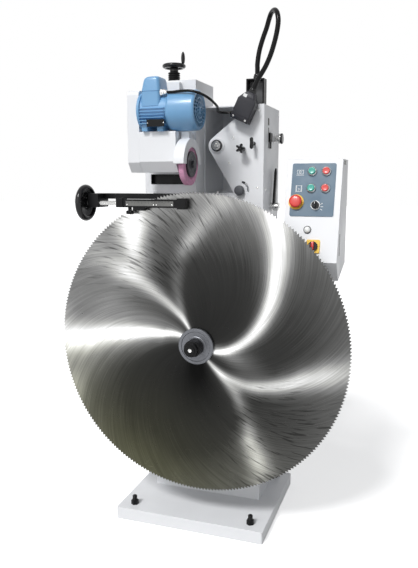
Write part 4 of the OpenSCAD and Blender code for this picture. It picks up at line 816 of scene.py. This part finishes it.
def fluted(profile, centre, axis, lobes, depth, sides=96):
    """A turned part whose radius dips by depth x (1 - cos(lobes x angle)) / 2 round the axis
    wherever the profile's third value says how much of the dip it takes."""
    profile = np.asarray(profile, float)
    rings = turned(profile[:, :2], (0, 0, 0), axis, sides)
    turn = np.linspace(0, 2 * np.pi, sides, endpoint=False)
    dip = 1 - depth * profile[:, 2:] * (1 - np.cos(lobes * turn))[None, :] / 2
    along = (rings @ axis)[..., None] * axis
    return along + (rings - along) * dip[..., None] + centre


foot, top, r = low[2], high[2], (high[0] - low[0]) / 2
SEAT = 1095.7
clamp = fluted([(foot, r - 3, 0), (foot + 0.6, r - 1, 1), (foot + 2, r, 1), (foot + 9.5, r, 1),
                (foot + 11.5, r - 1.5, 1), (foot + 12.3, 6.2, 0), (SEAT, 6, 0), (SEAT, 3.8, 0),
                (top, 3.8, 0)], (*((low + high) / 2)[:2], 0), Z, 8, 0.14)
skinned("clamp_knob_fluted", [clamp], machine_black, "rail_clamp", node="clamp_knob", smooth=40)

# ---- Feed screw and its handwheel ----
# Bright screw that draws the rail along, turned by a dished black handwheel with a thick
# polished rim on the far left.
low, high = corners("feed_screw")
feed_axis = (0, *((low + high) / 2)[1:])
core = (high[2] - low[2]) / 2
THREAD_FROM, THREAD_TO = -326, -270
rod = turned([(low[0], core - 1), (low[0] + 1, core), (THREAD_FROM - 1, core),
              *thread(THREAD_FROM, THREAD_TO, 1.6, core, 0.9), (THREAD_TO + 0.5, core),
              (high[0], core)], feed_axis, X, 32)
skinned("feed_screw_threaded", [rod], bright_steel, "feed_adjuster", node="feed_screw")

low, high = corners("arm_handwheel")
left, right, mid = low[0], high[0], (low[0] + high[0]) / 2
r, tyre_r, bore = (high[2] - low[2]) / 2, 10, core + 0.05
tyre = [(mid - tyre_r * 1.1 * np.sin(a), r - tyre_r + tyre_r * np.cos(a))
        for a in np.radians(np.arange(-140, 141, 20))]
disc = turned([(right - 0.8, bore), (right - 0.8, 13.5), (right - 2.5, 15), (mid + 2, 15),
               (mid + 0.8, 17.5), (mid + 3.5, 30), (mid + 4.5, r - 2 * tyre_r + 1.2), *tyre,
               (mid - 1.5, r - 2 * tyre_r + 1.2), (mid - 0.5, 30), (mid - 4, 17), (mid - 6, 14.5),
               (left + 2.2, 14.5), (left + 0.8, 13), (left + 0.8, bore)], feed_axis, X, 112)
skinned("arm_handwheel_moulded", [disc], black_plastic, "feed_adjuster", node="arm_handwheel",
        smooth=36, capped=False)

# ---- Feed housing ----
# Shell of white sheet on top of the column. A cover plate closes its front but for a tall
# recess at the left, and carries the bearing of the feed pawl and the operating knobs.
softened("upper_housing", 3, segments=3)
softened("front_cover_plate", 2.2, segments=3)
PLATE_Y = corners("front_cover_plate")[0][1]
screw_heads("cover_plate_screws", [(x, PLATE_Y, z) for x, z in ((150, 1412), (150, 1158),
                                                                (64, 1322.5), (50, 1240.5))],
            -Y, 4.2, "machine", 1)
low, high = corners("upper_housing")
screw_heads("housing_side_screws", [(high[0], low[1] + 14, low[2] + 12),
                                    (high[0], high[1] - 16, high[2] - 14),
                                    (high[0], high[1] - 16, low[2] + 12)], X, 4.5, "machine", 1)

# ---- Boss bearing ----
# Bearing at the nose of the cover plate: a white seat, a dark ring, and a bright stepped cap
# with a centre hole.
low, high = corners("boss_bearing")
nose = (low + high) / 2
nose[1] = PLATE_Y
r, deep = (high[0] - low[0]) / 2, PLATE_Y - low[1]
seat = turned([(-0.4, r), (2.2, r), (3.6, r - 1.4), (3.6, r - 4.5), (2.4, r - 5.2), (2.4, 18.4)],
              nose, -Y, 72)
ring = turned([(2, 19), (7.5, 19), (8.8, 17.8), (8.8, 14.8)], nose, -Y, 64)
cap = turned([(3, 15), (deep - 4.5, 15), (deep - 2.8, 13.4), (deep - 2.8, 9.2), (deep - 0.8, 8.5),
              (deep, 7.4), (deep, 3.2), (deep - 2.2, 1.2)], nose, -Y, 64)
skinned("boss_seat", [seat], enamel, "machine", node="boss_bearing", smooth=32)
skinned("boss_ring", [ring], dark_steel, "machine", smooth=32)
skinned("boss_cap", [cap], bright_steel, "machine", smooth=32)

# ---- Star knob and T-grip ----
# Two black moulded knobs on studs through the cover plate: one with five lobes, and one with
# a round cross bar.
low, high = corners("star_knob")
star_x, star_z = 100, 1286
front, back = low[1], 154
PLATE_BACK = 183


def star_rings(levels):
    """Levels (y, share) of the star knob: its outline is 11.2 mm plus 5.2 mm times a rounded wave
    of the angle, raised to a power so that the five lobes are fat and the gaps narrow."""
    turn = np.linspace(0, 2 * np.pi, 120, endpoint=False)
    radius = 11.2 + 5.2 * (2 * (0.5 + 0.5 * np.cos(5 * turn)) ** 0.75 - 1)
    return np.array([np.column_stack([star_x + s * radius * np.cos(turn), np.full(120, y),
                                      star_z + s * radius * np.sin(turn)]) for y, s in levels])


head = star_rings([(back, 0.86), (back - 1.2, 0.96), (back - 4, 1.0), (front + 4.5, 1.0),
                   (front + 1.4, 0.95), (front, 0.82), (front + 0.8, 0.45), (front + 1.6, 0.30)])
neck = turned([(0, 6.8), (28.6, 7.8), (29.2, 7.8)], (star_x, back + 0.5, star_z), Y, 32)
stud = turned([(0, 3.8), (high[1] - PLATE_BACK, 3.8)], (star_x, PLATE_BACK, star_z), Y, 20)
skinned("star_knob_moulded", [head, neck, stud], black_plastic, "star", node="star_knob",
        smooth=34)

low, high = corners("wing_knob")
wing_x, wing_z = 136, 1303
bar_r, half = (high[0] - low[0]) / 2, (high[2] - low[2]) / 2
bar_y = low[1] + bar_r
bar_profile = [(half * s, bar_r * np.sqrt(max(1 - abs(s) ** 5, 0.02)) * (0.80 + 0.20 * s * s))
               for s in np.linspace(-1, 1, 25)]
bar = turned(bar_profile, (wing_x, bar_y, wing_z), Z, 40)
neck = turned([(0, 5.8), (6, 4.6), (22, 4.6), (26, 6.6), (PLATE_BACK + 0.6 - bar_y, 6.6)],
              (wing_x, bar_y, wing_z), Y, 32)
stud = turned([(0, 3.8), (high[1] - PLATE_BACK, 3.8)], (wing_x, PLATE_BACK, wing_z), Y, 20)
skinned("t_grip_moulded", [bar, neck, stud], black_plastic, "wing", node="wing_knob", smooth=40)

# ---- Slot pointer ----
# Dark round knob that clamps an arm behind the plate, whose pin runs in a curved slot.
knob_grey = surface("knob_grey", (0.075, 0.078, 0.088), 0.42, grain=(500, 0.25), mottle=(30, 0.2))
high = corners("slot_knob")[1]
r, deep = 17, high[1] - PLATE_Y
hub = np.array((89, PLATE_Y, 1149))
grip = fluted([(0.3, 11, 0), (2.2, 11.8, 0), (3, r - 0.8, 1), (4.5, r, 1), (13.5, r - 0.3, 1),
               (16.5, r - 2.2, 0.6), (17.8, r - 6.2, 0), (18, 4, 0)], hub, -Y, 40, 0.03, 160)
stud = turned([(0, 5), (deep, 5)], hub, Y, 24)
PIN_ANGLE, PIN_REACH = np.radians(71), 29
aim = np.cos(PIN_ANGLE) * X + np.sin(PIN_ANGLE) * Z
pin_at = hub + PIN_REACH * aim
pin = turned([(-2, 2.4), (-1.6, 3), (deep - 0.4, 3)], pin_at, Y, 24)
across = 3 * np.cross(aim, Y)
ARM_FRONT = 200.3
near, far = (ARM_FRONT - PLATE_Y) * Y, (deep - 0.2) * Y
arm = np.array([(at - across + near, at + across + near, at + across + far, at - across + far)
                for at in (hub, pin_at)])
skinned("slot_knob_turned", [grip], knob_grey, "slot_pointer", "dark_steel", "slot_knob", 34)
skinned("slot_pointer_arm", [stud, pin, arm], dark_steel, "slot_pointer", node="slot_knob")

# ---- Side lever and side knob ----
# On the right of the machine: a tapered clamp lever on a bright hub, a bright knob with a black
# cap, and the striker and slot of a latch on the housing's side.
SIDE_X = 170


def squared(turn, power_u, power_v):
    """Points (u, v) of a circle of radius 1 whose cosine and sine are raised to a power."""
    c, s = np.cos(turn), np.sin(turn)
    return np.column_stack([np.sign(c) * np.abs(c) ** power_u, np.sign(s) * np.abs(s) ** power_v])


low, high = corners("side_lever")
hub_y, hub_z, r = 290, 1092, 14
foot, end = low[0] - SIDE_X, high[0] - SIDE_X
hub = turned([(0.3, r - 1), (1.2, r), (8.5, r), (9.5, r - 1.2), (10.5, r - 1.2), (11.5, r),
              (end - 4, r), (end - 1.2, r - 2.2), (end, r - 6), (end - 1.2, 4.5)],
             (SIDE_X, hub_y, hub_z), X, 56)
shaft = turned([(foot, 7.8), (0.5, 7.8)], (SIDE_X, hub_y, hub_z), X, 32)
oval = squared(np.linspace(0, 2 * np.pi, 32, endpoint=False), 0.35, 0.35)
blade = []
for t in np.linspace(0, 1, 12):
    e = min((1 - t) / 0.035, 1) ** 0.5
    blade.append(np.column_stack([
        SIDE_X + 12.5 + 4.4 * max(e, 0.6) * oval[:, 0],
        hub_y + 22 * t + (12.8 - 7.8 * t) * max(e, 0.55) * oval[:, 1],
        np.full(32, hub_z + (high[2] - hub_z) * t)]))
skinned("clamp_lever_hub", [hub, shaft], bright_steel, "clamp_lever", node="side_lever")
skinned("clamp_lever_blade", [blade], machine_black, "clamp_lever", node="side_lever", smooth=40)

low, high = corners("side_knob")
knob_y, knob_z, neck_end = 335, 1327, 186.3
root, collar = (SIDE_X, knob_y, knob_z), (neck_end, knob_y, knob_z)
reach = high[0] - neck_end
neck = turned([(0.3, 10.5), (1.2, 12), (4, 12), (4.6, 11.2), (neck_end - SIDE_X + 0.5, 11.2)],
              root, X, 48)
drum = turned([(0, 15), (0.6, 16.6), (1.8, 17.4), (7.2, 17.4), (7.2, 15)], collar, X, 64)
cap = fluted([(7, 17.8, 0), (7.6, 18, 1), (reach - 1.6, 18, 1), (reach - 0.4, 16.8, 0),
              (reach, 15, 0), (reach - 0.6, 6, 0)], collar, X, 48, 0.03, 192)
stud = turned([(low[0] - SIDE_X, 6), (0.6, 6)], root, X, 24)
skinned("latch_knob_drum", [stud, neck, drum], bright_steel, "latch_knob", node="side_knob")
skinned("latch_knob_cap", [cap], black_plastic, "latch_knob", node="side_knob", smooth=34)

shade_grey = surface("shade_grey", (0.10, 0.10, 0.095), 0.6, grain=(200, 0.1), mottle=(6, 0.25))
# the latch's window and groove are grey sheets: painted shade for the depth of the slot
window, groove, tongue, tail = (
    slab((SIDE_X - 0.2, y0, z0), (SIDE_X + proud, y1, z1))
    for y0, z0, y1, z1, proud in ((238, 1366, 252, 1389, 0.9), (244, 1290, 249, 1358, 0.8),
                                  (250, 1312, 281, 1342, 6.5), (262, 1290, 276, 1315, 4.5)))
skinned("latch_slot_painted_shade", [window, groove], shade_grey, "machine", "machine_black")
striker = skinned("latch_striker", [tongue, tail], machine_black, "machine")
rounded_edges(striker, 0.8)

# ---- Cable duct ----
# Black sheet duct on top of the housing, open to the front, with a grey lining at its back.
duct_grey = surface("duct_grey", (0.075, 0.077, 0.08), 0.5, grain=(300, 0.12), mottle=(8, 0.15))
softened("cable_duct", 0.8, machine_black)
low, high = corners("cable_duct")
duct_top = high[2]
lining = slab((low[0] + 5.5, high[1] - 5.8, low[2] + 5.3),
              (high[0] - 5.5, high[1] - 4.8, duct_top - 5.3))
skinned("duct_lining", [lining], duct_grey, "machine")

# ---- Connector hood ----
# Large dark plastic hood that tilts to the right on the cover plate. Its shoulders narrow to a
# neck with a ribbed gland, a seam runs round it, and a blank pale label sits on its shoulder.
hood_dark = surface("hood_dark", (0.020, 0.020, 0.026), 0.36, grain=(650, 0.2), mottle=(14, 0.15),
                    gloss=0.3)
HOOD_AT = np.array((112.07, 162, 1416.17))
HOOD_TILT = np.radians(25)
HOOD_DEEP, HOOD_CORNER, SHOULDER, NECK = 44, 5, 22, 52
hood_up = np.sin(HOOD_TILT) * X + np.cos(HOOD_TILT) * Z
hood_side = np.cos(HOOD_TILT) * X - np.sin(HOOD_TILT) * Z


def hood_ring(at, wide, deep):
    """One level of the hood, at a height along its tilted axis: a rectangle with round corners,
    64 mm wide up to the shoulder and then narrowing to 26 mm, and wide and deep more than that."""
    width = np.interp(at, (SHOULDER, NECK), (64, 26)) + wide
    depth = HOOD_DEEP + deep
    corner = min(HOOD_CORNER, width / 2 - 0.5, depth / 2 - 0.5)
    flat = round_rectangle(width, depth, corner, 5)
    return HOOD_AT + at * hood_up + flat[:, :1] * hood_side + flat[:, 1:] * Y


shell = [hood_ring(*level) for level in (
    (-44, -3, -3), (-43.2, -1.2, -1.2), (-42, 0, 0), (-30, 0, 0), (-29.2, -1.6, -1.6),
    (-28.4, -1.6, -1.6), (-27.6, 0, 0), (21.5, 0, 0), (23.5, -0.5, 0), (33, 0, -1),
    (33.6, -1.6, -2.6), (34.5, -1.6, -2.6), (35.1, 0, -1), (45, 0, -8), (51, 0, -13),
    (NECK, -2, -15))]
skinned("connector_hood_shell", [shell], hood_dark, "machine", "black_plastic",
        "connector_hood", 36)
lead_gland = turned([(0, 4.2), (0.6, 5.2), (4, 6), (10.5, 6), (10.8, 5.2), (13, 5.2), (13.2, 6),
                     (17.8, 6)], (60.3, 162, 1403), X, 32)
skinned("lead_gland", [lead_gland], machine_black, "machine", node="connector_hood")
screw_heads("hood_screws", [HOOD_AT + x * hood_side - 37 * hood_up - 21.9 * Y for x in (-22, 22)],
            -Y, 3.2, "machine", 0.8)


def tile(centre, u, v, under, over):
    """Rings of a thin plate about a centre: u and v are halves of its sides, and under and over
    the ways from the centre to its two faces."""
    flat = np.array([centre + i * u + j * v for i, j in ((-1, -1), (1, -1), (1, 1), (-1, 1))])
    return np.array([flat + under, flat + over])


label_white = surface("label_white", (0.85, 0.86, 0.85), 0.55, mottle=(40, 0.04))
tag = tile(np.array((115.5, 140.7, 1450.5)), 6.5 * hood_side, 8.5 * hood_up, -0.3 * Y, 1.2 * Y)
skinned("blank_label", [tag], label_white, "machine", "enamel_white")

# ---- Cable glands ----
# Ribbed black gland nuts at both ends of the loop cable, with a narrower clamping collar: one on
# top of the duct and one on the neck of the hood.
def gland_rings(foot, axis, long, r, cable=LOOP_D / 2):
    """A gland nut of a given length and radius: grip ribs in its lower half, a groove, and a
    collar that tapers towards the cable."""
    return fluted([(0, r - 1, 0), (0.6, r, 1), (0.8, r, 1), (long * 0.50, r, 1),
                   (long * 0.54, r - 1, 0.5), (long * 0.56, r - 2.2, 0), (long * 0.62, r - 2.2, 0),
                   (long * 0.64, r - 1.2, 0), (long * 0.84, r - 1.6, 0),
                   (long - 0.6, cable + 1.8, 0), (long, cable + 1, 0), (long, cable - 0.4, 0)],
                  foot, axis, 18, 0.07, 144)


lower = gland_rings((137, 216, duct_top), Z, 16, 13)
upper = gland_rings(HOOD_AT + NECK * hood_up, hood_up, 14, 12.5)
skinned("gland_nuts", [lower, upper], black_plastic, "machine", node="cable_glands", smooth=36)

# ---- Control box ----
# Slanted sheet-steel box on a square arm at the machine's right. Its front leans back towards
# the top; a hinge and the long slot of its lock are on its right side.
softened("control_arm", 2)
softened("control_box", 3.5, segments=3)
BOX_TOP = np.array((0, 120, 1248))
LEAN = np.arctan2(84, 315)  # the front leans back 84 mm over 315 mm of height
out = np.array((0, -np.cos(LEAN), np.sin(LEAN)))
down = np.array((0, -np.sin(LEAN), -np.cos(LEAN)))


def on_front(x, s, lift=0.0):
    """A point of the slanted front: x across, s down the slope from its top edge, and lift
    straight out of it."""
    return x * X + BOX_TOP + s * down + lift * out


side = corners("control_box")[1][0]
hinge = slab((side - 0.2, 150, 1231.5), (side + 1.2, 186, 1244.5))
skinned("box_hinge", [hinge], rule_grey, "machine", "bright_steel")
# the lock's slot is a thin black sheet: painted shade for its depth
lock_slot = slab((side - 0.2, 88, 949), (side + 0.4, 98, 1017))
skinned("box_lock_slot_painted_shade", [lock_slot], machine_black, "machine")

# ---- Control panel ----
# Slate-blue panel with round corners, let on to the slanted front. Plain pictograms stand beside
# the two pairs of push buttons, and three index strokes beside the selector.
panel_slate = surface("panel_slate", (0.095, 0.155, 0.215), 0.48, grain=(500, 0.08),
                      mottle=(6, 0.06))
softened("control_panel", 0.5, panel_slate)
PANEL_T = 2


def stroke(x, s, wide, tall, turn=0.0):
    """A flat bar painted on the panel, centred at (x, s), turned by an angle in degrees."""
    a = np.radians(turn)
    u, v = np.cos(a) * X + np.sin(a) * down, -np.sin(a) * X + np.cos(a) * down
    return tile(on_front(x, s, PANEL_T), wide / 2 * u, tall / 2 * v, -0.04 * out, 0.25 * out)


def frame_strokes(x, s, wide, tall, line=1.1):
    """The four bars of a rectangular outline."""
    return [*(stroke(x, s + k * tall / 2, wide + line, line) for k in (-1, 1)),
            *(stroke(x + k * wide / 2, s, line, tall) for k in (-1, 1))]


sun = [stroke(308.5 + 3.4 * np.cos(a), 42 + 3.4 * np.sin(a), 1.2, 2.4, np.degrees(a))
       for a in np.radians(np.arange(0, 360, 30))]
signs = [*frame_strokes(308.5, 42, 19, 12), stroke(308.5, 52, 24, 1.1), *sun,
         *frame_strokes(307.5, 95, 14, 18), stroke(298.5, 95, 1.1, 22), stroke(316.5, 95, 1.1, 22),
         stroke(307.5, 95, 4.5, 1.1, 35), stroke(307.5, 99, 4.5, 1.1, -35),
         stroke(381.5, 143, 7.5, 1.4, -30), stroke(383.5, 152, 7.5, 1.4),
         stroke(381.5, 161, 7.5, 1.4, 30)]
skinned("panel_signs", signs, label_white, "machine", "enamel_white")

# ---- Push buttons ----
# Two green and two red buttons in chromed rings. Each head is slightly dished on top and its
# stem passes through the panel.
start_green = surface("start_green", (0.015, 0.34, 0.27), 0.28, mottle=(40, 0.06), coat=0.3)
stop_red = surface("stop_red", (0.64, 0.03, 0.022), 0.32, mottle=(40, 0.06), coat=0.3)
bezel_chrome = surface("bezel_chrome", (0.42, 0.43, 0.44), 0.28, metal=0.9, grain=(500, 0.05),
                       mottle=(30, 0.1))
rings = []


def button(name, x, s, material):
    """A round push button: stem, head with a rounded edge, and a shallow dish. Its ring is kept
    for the set of rings, column by column."""
    centre = on_front(x, s, PANEL_T)
    rings.append(turned([(0, 11.3), (0, 14.2), (0.8, 15), (4.2, 14.8), (6.6, 13.2), (7, 12.4),
                         (6.6, 11.5), (5, 11.3)], centre, out, 56))
    head = turned([(-25.5, 7.5), (-25, 8), (4.3, 8), (4.3, 10.8), (8.8, 11), (9.8, 10.6),
                   (10.4, 9.6), (10.5, 8.5), (10.1, 6), (9.9, 2)], centre, out, 48)
    skinned(name + "_moulded", [head], material, frame["nodes"][name]["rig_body"], node=name,
            smooth=40)


for word, x, material in (("start", 346, start_green), ("stop", 390, stop_red)):
    button(word + "_button_upper", x, 40, material)
    button(word + "_button_lower", x, 94, material)

# ---- Emergency stop ----
# Red mushroom head on a black neck over a yellow ring.
signal_yellow = surface("signal_yellow", (0.90, 0.56, 0.05), 0.4, mottle=(30, 0.05), coat=0.2)
stop_at = on_front(302, 138, PANEL_T)
yellow_ring = turned([(0, 8.3), (0, 23.6), (0.5, 24), (2.4, 24), (3, 23.2), (3, 19), (2.4, 8.3)],
                     stop_at, out, 64)
HEAD_LIFT = 10
head = turned([(0.2, 8.2), (0.2, 16.5), (1.2, 18.8), (3, 19.9), (5.2, 19.7), (7.4, 18.2),
               (8.8, 15.5), (9.6, 11), (10, 5), (10, 1)], stop_at + HEAD_LIFT * out, out, 72)
neck = turned([(-25.5, 7.6), (-25, 8), (HEAD_LIFT + 0.4, 8)], stop_at, out, 40)
skinned("emergency_stop_head", [head], stop_red, "e_stop", node="emergency_stop", smooth=40)
skinned("emergency_stop_neck", [neck], machine_black, "e_stop", node="emergency_stop", smooth=40)

# ---- Selector ----
# Black rotary selector: a low round skirt with a raised grip bar, and a white line on the bar.
SELECTOR = (363, 148)
selector_at = on_front(*SELECTOR, PANEL_T)
plain_ring = turned([(0, 8.3), (0, 14.4), (0.8, 15), (2.4, 15), (3, 14.2), (3, 8.3)],
                    selector_at, out, 56)
SKIRT_FOOT, BAR_HIGH = 3.3, 8.5
skirt_top = SKIRT_FOOT + 6
skirt = turned([(-22.5, 7.8), (SKIRT_FOOT, 8), (SKIRT_FOOT, 11.5), (SKIRT_FOOT + 0.8, 12),
                (SKIRT_FOOT + 5, 12), (skirt_top, 11.2)], selector_at, out, 56)


def grip_bar(centre, half_wide, half_long, high):
    """Rings of a raised grip bar on a rotary knob: a rectangle with round ends that draws in as
    it rises and is rounded over the top."""
    flat = squared(np.linspace(0, 2 * np.pi, 40, endpoint=False), 0.35, 0.5)
    flat = half_wide * flat[:, :1] * X + half_long * flat[:, 1:] * down
    return np.array([centre + high * share * out + draw * flat
                     for share, draw in ((0, 1), (0.7, 0.92), (0.9, 0.84), (1, 0.66))])


bar = grip_bar(selector_at + skirt_top * out, 3.6, 11.4, BAR_HIGH)
skinned("selector_moulded", [skirt, bar], black_plastic, "selector", node="selector_knob",
        smooth=36)
line_at = on_front(SELECTOR[0], SELECTOR[1] - 4.5, PANEL_T + skirt_top + BAR_HIGH)
line = tile(line_at, 0.6 * X, 3 * down, -0.4 * out, 0.2 * out)
skinned("selector_line", [line], label_white, "selector", "enamel_white")

# ---- Lamp and rings ----
# Unlit white signal lamp with a domed lens in a dark ring, and the rings of all the devices.
lens_white = surface("lens_white", (0.80, 0.81, 0.80), 0.25, grain=(500, 0.1), mottle=(60, 0.05),
                     coat=0.5)
lamp_at = on_front(343, 225)
lens = turned([(1.8, 10), (3.5, 10), (6, 8.6), (7.4, 5.8), (7.9, 2)], lamp_at, out, 48)
lamp_ring = turned([(0, 10), (0, 11.6), (0.6, 12), (3, 12), (3.8, 11.2), (3.8, 10)],
                   lamp_at, out, 56)
for name, parts, material, smooth, capped in (
    ("device_rings", [*rings, plain_ring], bezel_chrome, 30, True),
    ("emergency_stop_ring", [yellow_ring], signal_yellow, 30, True),
    ("lamp_lens", [lens], lens_white, 40, True),
    ("lamp_ring", [lamp_ring], dark_steel, 30, False),
):
    skinned(name, parts, material, "machine", "bezel_chrome", "panel_bezels", smooth, capped)

# ---- Main switch ----
# Square yellow plate with a red rotary knob on a black skirt, low on the slanted front.
switch_at = on_front(364, 277)
PLATE_SIDE, PLATE_CORNER = 42, 4
plate = []
for lift, shrink in ((0, 0.2), (0.6, 0), (3.2, 0), (4, 0.8)):
    side = PLATE_SIDE - 2 * shrink
    flat = round_rectangle(side, side, PLATE_CORNER - shrink, 6)
    plate.append(switch_at + lift * out + flat[:, :1] * X + flat[:, 1:] * down)
skinned("main_switch_plate", [plate], signal_yellow, "machine", "bezel_chrome", "panel_bezels", 36)
SKIRT_TOP = 10.3
skirt = turned([(-19.5, 7.8), (4.3, 8), (4.3, 14.2), (5.2, 15), (9.2, 15), (SKIRT_TOP, 14)],
               switch_at, out, 56)
skinned("main_switch_skirt", [skirt], black_plastic, "main_switch", node="main_switch_knob",
        smooth=36)
bar = grip_bar(switch_at + SKIRT_TOP * out, 4.8, 14.2, 9.8)
skinned("main_switch_grip", [bar], stop_red, "main_switch", node="main_switch_knob", smooth=36)

# ---- Floor, light and surroundings ----
# Pale floor and white surroundings. A sun from high in front lights tops and fronts, a broad
# weaker one fills the fronts from lower down, and the right sides stay in soft shade.
def seen_rays(tree):
    """1 for camera, mirror and clear rays, 0 for all others, out of a tree's Light Path node."""
    rays = wired(tree, "LightPath").outputs
    seen = rays["Is Camera Ray"]
    for kind in ("Is Glossy Ray", "Is Transmission Ray"):
        seen = wired(tree, "Math", {0: seen, 1: rays[kind]}, operation="MAXIMUM").outputs[0]
    return seen


floor = bpy.data.materials.new("studio_floor")
floor.use_nodes = True
tree = floor.node_tree
seen = seen_rays(tree)
tone = wired(tree, "Mix", {"Factor": seen, "A": (0.36, 0.36, 0.36, 1), "B": (0.99, 0.99, 0.99, 1)},
             data_type="RGBA")
glow = wired(tree, "Math", {0: seen, 1: 0.5}, operation="MULTIPLY")
plugged(tree, tree.nodes["Principled BSDF"], {
    "Base Color": tone.outputs["Result"], "Roughness": 0.9, "Specular IOR Level": 0.0,
    "Emission Color": (1, 1, 1, 1), "Emission Strength": glow.outputs[0]})
ground = bpy.data.meshes.new("floor")
FLOOR_HALF, FLOOR_Z = 30, -0.0005
ground.from_pydata([(x * FLOOR_HALF, y * FLOOR_HALF, FLOOR_Z)
                    for x, y in ((-1, -1), (1, -1), (1, 1), (-1, 1))], [], [(0, 1, 2, 3)])
ground.materials.append(floor)
stage = bpy.data.objects.new("floor", ground)
bpy.context.scene.collection.objects.link(stage)


def sun_lamp(name, place, aim, angle, power):
    """A sun whose rays run from a place towards a point, as broad as its angle in radians."""
    light = bpy.data.lights.new(name, "SUN")
    light.energy = power
    light.angle = angle
    holder = bpy.data.objects.new(name, light)
    way = (Vector(aim) - Vector(place)).to_track_quat("-Z", "Y")
    holder.matrix_world = Matrix.Translation(place) @ way.to_matrix().to_4x4()
    bpy.context.scene.collection.objects.link(holder)


sun_lamp("key_light", (-0.5, -1.9, 2.3), (0, 0, 0.3), 0.25, 2.25)
sun_lamp("front_light", (-0.7, -2.4, 1.4), (0, 0, 0.7), 1.2, 0.95)

world = bpy.data.worlds.new("studio")
world.use_nodes = True
bpy.context.scene.world = world
tree = world.node_tree
soft = tree.nodes["Background"]
plugged(tree, soft, {"Color": (0.95, 0.97, 1.0, 1), "Strength": 0.27})
white = wired(tree, "Background", {"Color": (1, 1, 1, 1)})
choice = wired(tree, "MixShader", {"Fac": seen_rays(tree), 1: soft.outputs["Background"],
                                   2: white.outputs["Background"]})
plugged(tree, tree.nodes["World Output"], {"Surface": choice.outputs["Shader"]})
bpy.context.scene.view_settings.view_transform = "Standard"
